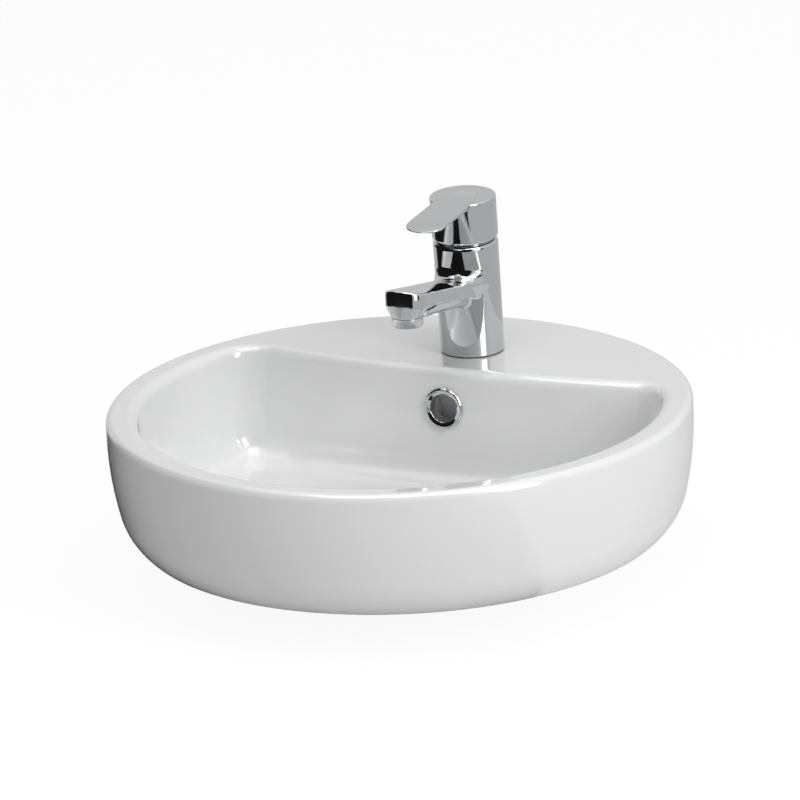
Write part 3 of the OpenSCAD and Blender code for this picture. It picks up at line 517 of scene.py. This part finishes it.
def chrome_plate():
    finish = Finish("chrome_plate", Metallic=1.0)
    haze = finish.noise(0.012, 4.0)
    spots = finish.node("TexVoronoi", {"feature": "DISTANCE_TO_EDGE"},
                        {"Vector": finish.place, "Scale": 260.0})
    finish.feed("Base Color", haze.blend((0.600, 0.606, 0.615), (0.625, 0.630, 0.638)))
    finish.feed("Roughness", haze * 0.03 + finish.noise(0.0009, 3.0) * 0.02 + 0.025)
    finish.relief(finish.noise(0.02, 1.0) * 0.7 + spots * 0.02, 0.00004)
    return finish.material


chrome = chrome_plate()
overflow_ring = shown("overflow_trim", turned("overflow_trim", [
    (11, -8, 0.4), (12.4, -8, 0.3), (12.4, 0, 0), (16, 0, 0.3), (16, 1.6, 1.3), (14.6, 3, 1.2),
    (13.4, 2.6, 0.5), (11, 1.2, 0.8)], chrome, 96, place=in_overflow))
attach(overflow_ring, "basin")
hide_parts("overflow_ring")

# Tap body
# Chromed brass, cast in one with its spout, then ground and polished: a leaning round body, a flat-topped
# arm that rises to a rounded nose, and a narrower belly under the arm. It is bored for the cartridge.
tap_lean = math.radians(2.9)
tap_r, tap_flare, tap_h, tap_round = 24.4, 0.5, 90.5, 3.0
nose_y, nose_corner, collar_r, collar_z = 125.8, 13.5, 12.2, 61.3
arm_top, arm_rise, arm_crown, arm_half, arm_taper, nose_draft = 64.5, 0.203, 1.5, 15.9, 0.01, 2.2
belly_half, belly_round, belly_top, on_slope = 11, 7.0, 61, 0.98
outlet_y, outlet_r, outlet_top = 112, 10.5, 70.5
chamber_r, chamber_low, nut_r, nut_low = 17.6, 46, 19.6, 77.3
inlet_x, inlet_y, inlet_r, stud_y, stud_r, socket_h = 7.5, 6, 4.5, 11, 4.06, 13


def soft_max(a, b, r):
    """The farther of two distances, with a rounding of radius r where they meet."""
    return np.minimum(np.maximum(a, b), -r) + np.hypot(np.maximum(a + r, 0), np.maximum(b + r, 0))


def soft_min(a, b, r):
    """The nearer of two distances, with a fillet of radius r where they meet."""
    return np.maximum(np.minimum(a, b), r) - np.hypot(np.maximum(r - a, 0), np.maximum(r - b, 0))


def cast(name, field, low, high, cell, finish, place):
    """The closed surface where a field of distances is 0, meshed in cells and drawn onto the surface."""
    axes = [np.arange(a, b + cell, cell) for a, b in zip(low, high)]
    x, y, z = np.meshgrid(*axes, indexing="ij")
    value = field(x, y, z).astype(np.float32)
    nx, ny, nz = value.shape
    steps = [(i, j, k) for i in (0, 1) for j in (0, 1) for k in (0, 1)]
    corner = [value[i:nx - 1 + i, j:ny - 1 + j, k:nz - 1 + k] for i, j, k in steps]
    count = sum((c < 0).astype(np.int8) for c in corner)
    mixed = np.argwhere((count > 0) & (count < 8))
    number = np.full(count.shape, -1)
    number[tuple(mixed.T)] = np.arange(len(mixed))
    at = np.array([c[tuple(mixed.T)] for c in corner]).T.astype(float)
    total, hits = np.zeros((len(mixed), 3)), np.zeros(len(mixed))
    for a in range(8):
        for b in range(a + 1, 8):
            if sum(abs(p - q) for p, q in zip(steps[a], steps[b])) == 1:
                crossed = (at[:, a] < 0) != (at[:, b] < 0)
                share = np.where(crossed, at[:, a] / np.where(crossed, at[:, a] - at[:, b], 1), 0)
                spot = np.array(steps[a]) + share[:, None] * (np.array(steps[b]) - np.array(steps[a]))
                total += spot * crossed[:, None]
                hits += crossed
    points = (mixed + total / hits[:, None]) * cell + np.array(low)
    faces = []
    for axis in range(3):
        one, two = [a for a in range(3) if a != axis]
        size = [s - 1 for s in value.shape]
        here = [slice(1, s) for s in size]
        here[axis] = slice(0, size[axis])
        first = value[tuple(slice(s.start, s.stop) for s in here)]
        there = list(here)
        there[axis] = slice(1, size[axis] + 1)
        second = value[tuple(there)]
        crossing = np.argwhere((first < 0) != (second < 0))
        falls = (first < 0)[tuple(crossing.T)]
        base = crossing.copy()
        base[:, one] += 1
        base[:, two] += 1
        quad = []
        for da, db in ((-1, -1), (0, -1), (0, 0), (-1, 0)):
            cellno = base.copy()
            cellno[:, one] += da
            cellno[:, two] += db
            quad.append(number[tuple(cellno.T)])
        quad = np.column_stack(quad)
        flip = falls if axis != 1 else ~falls
        quad[~flip] = quad[~flip][:, ::-1]
        faces.append(quad)
    faces = np.vstack(faces)

    def slope(p):
        e = 0.02
        g = [field(*(p + e * np.eye(3)[i]).T) - field(*(p - e * np.eye(3)[i]).T) for i in range(3)]
        return np.array(g).T / (2 * e)

    def draw(p, rounds):
        for _ in range(rounds):
            g = slope(p)
            move = field(*p.T)[:, None] * g / np.maximum((g * g).sum(1), 0.05)[:, None]
            length = np.linalg.norm(move, axis=1, keepdims=True)
            p = p - move * np.minimum(1, 0.5 * cell / np.maximum(length, 1e-9))
        return p

    points = draw(points, 3)
    for _ in range(3):
        mean, seen = np.zeros_like(points), np.zeros(len(points))
        for a, b in ((0, 1), (1, 2), (2, 3), (3, 0)):
            np.add.at(mean, faces[:, a], points[faces[:, b]])
            np.add.at(mean, faces[:, b], points[faces[:, a]])
            np.add.at(seen, faces[:, a], 1)
            np.add.at(seen, faces[:, b], 1)
        g = slope(points)
        g /= np.maximum(np.linalg.norm(g, axis=1, keepdims=True), 1e-6)
        shift = mean / seen[:, None] - points
        shift -= (shift * g).sum(1, keepdims=True) * g
        points = draw(points + 0.5 * shift, 2)
    normals = slope(points)
    normals /= np.maximum(np.linalg.norm(normals, axis=1, keepdims=True), 1e-6)
    mesh = bpy.data.meshes.new(name)
    mesh.from_pydata([tuple(p) for p in points * MM], [], [tuple(f) for f in faces])
    mesh.materials.append(finish)
    mesh.shade_smooth()
    mesh.transform(place)
    turn = np.array(place.to_3x3())
    mesh.normals_split_custom_set_from_vertices([tuple(v) for v in normals @ turn.T])
    return mesh


def tap_field(x, behind, z):
    """Distances from the tap body's surface, in millimetres, from the axis at the deck."""
    along = z * math.cos(tap_lean) - behind * math.sin(tap_lean)
    out = np.hypot(x, behind * math.cos(tap_lean) + z * math.sin(tap_lean))
    y = -behind
    body = soft_max(out - tap_r - tap_flare * along / tap_h, along - tap_h, tap_round)
    body = soft_max(body, 1 - z, 0.4)
    # the arm, a little crowned on top, swells to a round nose
    swell = np.clip((y - 98) / 14, 0, 1)
    swell = swell * swell * (3 - 2 * swell)
    top = (z - arm_top - arm_rise * (y - 40) - arm_crown * (1 - (x / 15.5) ** 2)) * on_slope
    side = np.abs(x) - arm_half + arm_taper * (y - 30) - swell
    arm = soft_max(y - nose_y, side, nose_corner) + swell * nose_draft * np.clip((z - 76) / 8, 0, 2) ** 2
    # under a crease round the nose the chin tucks in to the collar of the aerator
    crease = 64.4 + 0.22 * (y - 96.6)
    tuck = np.clip((crease - z) / np.maximum(crease - collar_z, 1), 0, 1)
    tuck = tuck * np.clip((y - 92) / 5, 0, 1)
    arm = arm + tuck * (np.hypot(x, y - outlet_y) - collar_r - arm)
    arm = soft_max(arm, top, 1.2)
    ridge_y = [-20, 16, 34, 52, 78, 94, 97.5, 103.6, 110, 114, 140]
    ridge_z = [41.4, 48.9, 52.6, 56.2, 61.6, 64.6, 64.7, 63.1, 60.9, 60.6, 60.6]
    under = (np.interp(y, ridge_y, ridge_z) - z) * on_slope
    arm = soft_max(arm, under, 0.7)
    arm = np.maximum(arm, -y - 10)
    # the belly under it
    keel_y = [-20, 30, 77, 86, 94.6, 97, 99, 140]
    keel_z = np.interp(y, keel_y, [34.0, 43.0, 51.9, 53.2, 54.4, 56.8, 60.6, 76])
    belly = soft_max(np.abs(x) - belly_half, (keel_z - z) * on_slope, belly_round)
    belly = np.maximum(np.maximum(belly, z - belly_top), -y - 10)
    arm = soft_min(arm, belly, 2.5)
    join = 2.5 + 7.5 * np.clip((z - 51) / 9, 0, 1)
    solid = soft_min(body, arm, join)
    # the chamber for the cartridge, the nut's thread, the inlets, the stud and the outlet
    solid = np.maximum(solid, -np.maximum(out - chamber_r, chamber_low - along))
    solid = np.maximum(solid, -np.maximum(out - nut_r, nut_low - along))
    holes = ((-inlet_x, inlet_y, inlet_r, socket_h), (inlet_x, inlet_y, inlet_r, socket_h),
             (0, -stud_y, stud_r, socket_h), (0, outlet_y, outlet_r, outlet_top))
    for hole_x, hole_y, hole_r, hole_top in holes:
        solid = np.maximum(solid, -np.maximum(np.hypot(x - hole_x, y - hole_y) - hole_r, z - hole_top))
    return solid


deck_frame = Matrix.Translation((0, tap_y * MM, rim_z * MM))
leaning_frame = deck_frame @ Matrix.Rotation(tap_lean, 4, "X")
tap_body = shown("tap_casting", cast("tap_casting", tap_field, (-27, -129, -1), (27, 28, 94), 0.8, chrome,
                                     deck_frame))
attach(tap_body, "basin")
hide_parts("tap_body")


def part(name, mesh, body, finish_slot, *stands_for):
    """Shows a finished mesh, on its body, in the place of its CAD nodes."""
    piece = shown(name, mesh)
    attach(piece, body)
    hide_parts(*stands_for)


# Seal under the tap
# A flat ring of black rubber, seen as a thin dark line. The nut under the deck squeezes it between the
# tap and the glaze.
def moulded_rubber(name, dark, light, rough):
    finish = Finish(name)
    bloom = finish.noise(0.004, 4.0)
    finish.feed("Base Color", bloom.blend(dark, light))
    finish.feed("Roughness", bloom * 0.2 + rough)
    finish.relief(finish.noise(0.0005, 2.0), 0.00003)
    return finish.material


rubber = moulded_rubber("black_rubber", (0.018, 0.018, 0.019), (0.040, 0.040, 0.042), 0.45)
part("tap_seal", turned("tap_seal", [(17, 0, 0.2), (23.6, 0, 0.3), (23.6, 1, 0.3), (17, 1, 0.2)], rubber,
                        place=deck_frame), "basin", "rubber", "tap_base_seal")

# Aerator
# A chromed brass housing with a white plastic insert and a rubber washer. It is screwed up into the
# spout's nose, and its rim shows below.
outlet_frame = Matrix.Translation((0, (tap_y - outlet_y) * MM, rim_z * MM))
part("aerator_shell", turned("aerator_shell", [
    (8.6, 53.1, 0.3), (11.3, 53.1, 0.35), (11.85, 53.7, 0.3), (11.85, 60.5, 0.15), (10.44, 60.5, 0),
    (10.44, 66.9, 0.3), (8.6, 66.9, 0.2)], chrome, place=outlet_frame), "basin", "chrome", "aerator_housing")


def moulded_plastic(name, low, high, rough):
    finish = Finish(name)
    tone = finish.noise(0.01, 3.0)
    finish.feed("Base Color", tone.blend(low, high))
    finish.feed("Roughness", tone * 0.1 + rough)
    finish.relief(finish.noise(0.0004, 2.0), 0.00001)
    return finish.material


white_plastic = moulded_plastic("white_plastic", (0.70, 0.70, 0.69), (0.78, 0.78, 0.77), 0.32)
pierced_tree, pierced_in, pierced_out = new_tree("pierced", {"Hole Radius": "Float", "Hole Depth": "Float",
                                                             "Material": "Material"})
is_hole = add(pierced_tree, "GeometryNodeInputNamedAttribute", {"data_type": "BOOLEAN"}, {"Name": "is_hole"})
parted = add(pierced_tree, "GeometryNodeSeparateGeometry", {},
             {"Geometry": pierced_in["Geometry"], "Selection": is_hole}, 0).node
drill = add(pierced_tree, "GeometryNodeMeshCylinder", {},
            {"Vertices": 20, "Radius": pierced_in["Hole Radius"], "Depth": pierced_in["Hole Depth"]})
drill = add(pierced_tree, "GeometryNodeInstanceOnPoints", {},
            {"Points": parted.outputs[0], "Instance": drill})
drill = add(pierced_tree, "GeometryNodeRealizeInstances", {}, {"Geometry": drill})
cup = add(pierced_tree, "GeometryNodeMeshBoolean", {"operation": "DIFFERENCE", "solver": "EXACT"},
          {"Mesh 1": parted.outputs[1], "Mesh 2": drill})
cup = add(pierced_tree, "GeometryNodeRealizeInstances", {}, {"Geometry": cup})
cup = add(pierced_tree, "GeometryNodeSetMaterial", {}, {"Geometry": cup, "Material": pierced_in["Material"]})
pierced_tree.links.new(cup, pierced_out["Geometry"])


def pierced(name, mesh, spots, radius, depth, finish):
    """The mesh with a round hole at each spot (x, y, z) in millimetres."""
    n, m = len(mesh.vertices), len(spots)
    both = bpy.data.meshes.new(name)
    both.from_pydata([tuple(v.co) for v in mesh.vertices] + [tuple(c * MM for c in p) for p in spots], [],
                     [tuple(p.vertices) for p in mesh.polygons])
    both.attributes.new("is_hole", "BOOLEAN", "POINT").data.foreach_set("value", [False] * n + [True] * m)
    return grow(name, pierced_tree, both, {"Hole Radius": radius * MM, "Hole Depth": depth * MM,
                                           "Material": finish})


spots = [(0, 0, 55)] + [(2.2 * k * math.cos(i * math.pi / 3 / k), 2.2 * k * math.sin(i * math.pi / 3 / k), 55)
                        for k in (1, 2, 3) for i in range(6 * k)]
insert = turned("aerator_core", [(0, 54.2, 0), (8.5, 54.2, 0.4), (8.5, 65.4, 0.3), (7.3, 65.4, 0.2),
                                 (7.3, 55.7, 0.3), (0, 55.7, 0)], white_plastic, 64, closed=False)
insert = pierced("aerator_core", insert, spots, 0.62, 6, white_plastic)
insert.transform(outlet_frame)
part("aerator_core", smoothed(insert), "basin", "white_plastic", "aerator_insert")

# Lever
# Chromed zinc, cast in one: a hollow cap that sits over the cartridge and a leaf-shaped blade that
# leaves the cap's top towards the user. A set screw behind holds it on the spindle.
cap_r, cap_low, cap_top = 25.3, 91.9, 124.6
cap_wall_r, boss_r, boss_low, hollow_top = 23.5, 8, 99.9, 118.9
socket_half, socket_top, screw_r, screw_head_r, screw_s = 4.05, 117.9, 2.5, 3.0, 111.4
blade_half, blade_tip, blade_back, tip_y, root_y = 15.3, 13.6, 31, 66, 20
blade_top = np.polyfit([-12, -6, 0, 5, 10, 18, 25, 31, 40, 50, 57, 62, 66, 70, 75, 80],
                       [124.3, 124.9, 125.4, 125.8, 125.9, 125.6, 125.2, 125.0, 124.8, 124.7, 124.6, 124.4,
                        124.1, 123.7, 123.1, 122.3], 6)


def lever_field(x, back, s):
    """Distances from the lever's surface in millimetres, along the tap's leaning axis."""
    out = np.hypot(x, back)
    y = -back
    cap = soft_max(soft_max(out - cap_r, s - cap_top - 0.012 * y, 0.9), cap_low - s, 2.4)
    # the leaf has parallel sides and elliptic ends, the front one short and the one on the cap long
    end = np.where(y > 40, blade_tip, blade_back)
    u, v = np.abs(x) / blade_half, np.maximum(y - tip_y, root_y - y).clip(0) / end
    plan = (u * u + v * v - 1) / np.maximum(2 * np.hypot(u / blade_half, v / end), 0.03)
    top = np.polyval(blade_top, np.clip(y, -12, 81)) - 0.3 * (x / 15) ** 2
    bottom = np.interp(y, [0, 30, 60, 82], [120.9, 121.5, 122.0, 121.1])
    blade = soft_max(soft_max(plan, s - top, 0.35), bottom - s, 0.8)
    solid = soft_min(cap, blade, 0.2)
    # hollow for the cartridge, with the boss that grips the spindle
    hollow = np.maximum(np.maximum(out - cap_wall_r, s - hollow_top), boss_r - out)
    hollow = np.minimum(hollow, np.maximum(out - cap_wall_r, s - boss_low))
    solid = np.maximum(solid, -hollow)
    socket = np.maximum(np.maximum(np.abs(x), np.abs(back)) - socket_half, s - socket_top)
    solid = np.maximum(solid, -socket)
    hole = np.hypot(x, s - screw_s)
    solid = np.maximum(solid, -np.maximum(hole - screw_r, -back))
    return np.maximum(solid, -np.maximum(hole - screw_head_r, boss_r - back))


part("lever_casting", cast("lever_casting", lever_field, (-27, -82, 90), (27, 27, 128), 0.6, chrome,
                           leaning_frame), "lever", "chrome", "lever")
screw_frame = leaning_frame @ Matrix.Translation((0, cap_wall_r * MM, screw_s * MM)) \
    @ Matrix.Rotation(math.radians(-90), 4, "X")
part("screw_cover", turned("screw_cover", [(0, 0, 0), (2.95, 0, 0.3), (2.95, 1.6, 0.5), (0, 1.9, 0)], chrome,
                           48, closed=False, place=screw_frame), "lever", "chrome", "lever_plug")

# Ring between body and lever
# A thin chromed dome, turned from brass, that covers the cartridge's nut. It shows as the dark seam under
# the lever's cap, and more of it when the lever is lifted.
part("seam_ring", turned("seam_ring", [
    (18.6, 90.1, 0.2), (22.5, 90.5, 0.1), (22.5, 91.1, 0.4), (15.2, 93.7, 0.3), (15.2, 92.4, 0.2)],
    chrome, place=leaning_frame), "basin", "chrome", "dome_ring")

# Waste
# A chromed brass waste through the floor: a rounded flange on a soft gasket, a throat, four windows for the
# overflow water and a bridge that carries the plug's mechanism. The thread below takes nut and trap.
throat_r, thread_r, thread_top, flange_r, flange_z = 17.5, 20.95, 24, 31.4, 41.5
waste = turned("waste_fitting", [
    (throat_r, 1, 0.3), (thread_r, 1, 0.5), (thread_r, 8.5, 0.1), (20.3, 8.7, 0), (20.3, 9.2, 0),
    (thread_r, 9.4, 0.1), (thread_r, thread_top, 0), (20.6, 24.4, 0), (20.6, flange_z, 0),
    (flange_r, flange_z, 0.3), (flange_r, 42.4, 0.6), (29.6, 44, 1.0), (22.6, 44, 1.0),
    (throat_r, 39.2, 0.8)], chrome, 128, thread=(thread_r, 1, thread_top, 2.309, 0.9))
windows = [block((8, -8, channel_z), (24, 8, channel_top_z), chrome) for _ in range(4)]
for quarter, window in enumerate(windows):
    window.transform(Matrix.Rotation(quarter * math.pi / 2, 4, "Z"))
waste = combined(waste, "DIFFERENCE", *windows)
waste = combined(waste, "UNION", block((-18.2, -2.5, 13), (18.2, 2.5, 17), chrome),
                 drum([(6, 13), (6.5, 13.5), (6.5, 19.5), (6, 20)], chrome, 48))
waste = combined(waste, "DIFFERENCE", drum([(3, 12), (3, 21)], chrome, 48))
part("waste_fitting", smoothed(waste, 30), "basin", "chrome", "waste_body")

# Plug
# A low chromed brass dome with a rubber ring under its rim. Its plastic stem slides in the click barrel,
# so that a push raises it.
part("plug_dome", turned("plug_dome", [(0, 42.3, 0), (19.2, 42.3, 0.4), (20, 43, 0.5), (19.2, 44.6, 1.5),
                                       (9, 45.4, 6), (0, 45.5, 0)], chrome, 96, closed=False),
     "plug", "chrome", "plug_cap")

# Hidden pieces
# Fixings, seals, cartridge and plug mechanism keep their CAD shapes. Each has the finish of its material:
# turned brass or steel, moulded rubber or plastic, or ground ceramic.
def machined(name, low, high, rough):
    finish = Finish(name, Metallic=1.0)
    tone = finish.noise(0.006, 4.0)
    grain = finish.node("TexWave", {"bands_direction": "Z"},
                        {"Vector": finish.place, "Scale": 900.0, "Distortion": 1.5})
    finish.feed("Base Color", tone.blend(low, high))
    finish.feed("Roughness", tone * 0.12 + rough)
    finish.relief(grain, 0.000008)
    return finish.material


finishes = {
    "glazed_ceramic": glazed, "chrome": chrome, "rubber": rubber, "white_plastic": white_plastic,
    "brass": machined("brass", (0.62, 0.44, 0.18), (0.72, 0.54, 0.26), 0.22),
    "steel": machined("steel", (0.48, 0.48, 0.50), (0.58, 0.58, 0.60), 0.25),
    "soft_seal": moulded_rubber("soft_seal", (0.52, 0.52, 0.51), (0.60, 0.60, 0.59), 0.5),
    "disc_ceramic": moulded_plastic("disc_ceramic", (0.74, 0.73, 0.70), (0.80, 0.79, 0.77), 0.12),
    "blue_plastic": moulded_plastic("blue_plastic", (0.05, 0.12, 0.36), (0.08, 0.17, 0.44), 0.35)}
for row in frame["record"]["subparts"]:
    mesh = nodes[row["node"]].data
    mesh.materials.clear()
    mesh.materials.append(finishes[row["material_slot"]])

# Studio
# A pale floor under a white surround, soft lamps above and at the right, and a wrap of grey, light and
# dark cloth that only polished surfaces see, as a photographer sets round chrome.
def ray_share(tree):
    """1 for rays from the camera, off gloss or through glass, else 0."""
    ray = tree.node("LightPath", {}, {}).socket.node.outputs
    kinds = [Value(tree.tree, ray["Is " + kind + " Ray"]) for kind in ("Camera", "Glossy", "Transmission")]
    seen = kinds[0] + kinds[1] + kinds[2]
    return seen.math("MINIMUM", seen, 1.0)


world = bpy.data.worlds.new("studio")
world.use_nodes = True
bpy.context.scene.world = world
surround = Value(world.node_tree)
back_light = world.node_tree.nodes["Background"]
ambient = 0.34
back_strength = ray_share(surround) * (1 - ambient) + ambient
world.node_tree.links.new(back_strength.socket, back_light.inputs["Strength"])
back_light.inputs["Color"].default_value = (1, 1, 1, 1)

floor_finish = Finish("pale_floor", Roughness=0.9)
floor_finish.feed("Base Color", floor_finish.noise(0.4).blend((0.84, 0.84, 0.84), (0.86, 0.86, 0.86)))
glow = floor_finish.node("Emission", {}, {"Color": (1, 1, 1, 1), "Strength": 1.03})
floor_shader = Value(floor_finish.tree, floor_finish.shader.outputs[0])
lit = floor_finish.node("MixShader", {}, {0: ray_share(floor_finish) * 0.9, 1: floor_shader, 2: glow})
floor_finish.tree.links.new(lit.socket, floor_finish.tree.nodes["Material Output"].inputs["Surface"])
floor_mesh = bpy.data.meshes.new("floor")
floor_half = 12
floor_mesh.from_pydata([(-floor_half, -floor_half, 0), (floor_half, -floor_half, 0),
                        (floor_half, floor_half, 0), (-floor_half, floor_half, 0)], [], [(0, 1, 2, 3)])
floor_mesh.materials.append(floor_finish.material)
shown("floor", floor_mesh)


def lamp(name, azimuth, elevation, distance, size, watts):
    """A soft lamp aimed at the basin. Azimuth turns from the user's side towards the right."""
    data = bpy.data.lights.new(name, "AREA")
    data.shape, data.size, data.size_y, data.energy = "RECTANGLE", *size, watts
    a, e = math.radians(azimuth), math.radians(elevation)
    towards = Vector((math.sin(a) * math.cos(e), -math.cos(a) * math.cos(e), math.sin(e)))
    aimed_at = Vector((0, 0, 0.1))
    shown(name, data).matrix_world = Matrix.Translation(aimed_at + towards * distance) \
        @ towards.to_track_quat("Z", "Y").to_matrix().to_4x4()


lamp("key_lamp", 69, 30, 2.6, (0.82, 1.9), 29)
lamp("top_lamp", 20, 80, 2.5, (1.8, 1.8), 24)

# the wrap is black in front, pale grey elsewhere and brighter above, with a bright strip at the right
# and a black flag beside it
wrap_finish = Finish("studio_wrap")
wrap_parts = wrap_finish.node("SeparateXYZ", {}, {"Vector": wrap_finish.place}).socket.node.outputs
wrap_x, wrap_y, wrap_z = (Value(wrap_finish.tree, wrap_parts[axis]) for axis in "XYZ")
azimuth = wrap_x.math("ARCTAN2", wrap_x, wrap_y * -1) * math.degrees(1)
reach = wrap_x * wrap_x + wrap_y * wrap_y
reach = reach.math("SQRT", reach, 0)
height = wrap_z.math("ARCTAN2", wrap_z, reach) * math.degrees(1)
near, far = 1 - reach.step(0.50, 0.56), reach.step(0.72, 0.80)
front_end = near * 12 + 46
front = azimuth.step(-118, -108) * (1 - azimuth.step(front_end, front_end + 4)) * (1 - height.step(55, 62))
flag = azimuth.step(78, 80) * (1 - azimuth.step(88, 94)) * far * (1 - height.step(18, 26))
strip = azimuth.step(60, 62) * (1 - azimuth.step(76, 78)) * far * (1 - height.step(12, 22))
dark = front.math("MAXIMUM", front, flag)
tone = 0.68 - (1 - height.step(0.5, 6)) * 0.10 + height.step(35, 60) * 0.6 + strip * 1.5
wrap_light = wrap_finish.node("Emission", {}, {"Strength": tone * (1 - dark) + 0.012})
wrap_finish.tree.links.new(wrap_light.socket, wrap_finish.tree.nodes["Material Output"].inputs["Surface"])
wrap_r, wrap_h = 2950, 3400
wrap_mesh = turned("studio_wrap", [(60, 4, 0), (wrap_r, 4, 0), (wrap_r, wrap_h, 900), (1, wrap_h, 0)],
                   wrap_finish.material, 180, closed=False)
wrap = shown("studio_wrap", wrap_mesh)
wrap.visible_camera = wrap.visible_diffuse = wrap.visible_shadow = wrap.visible_transmission = False
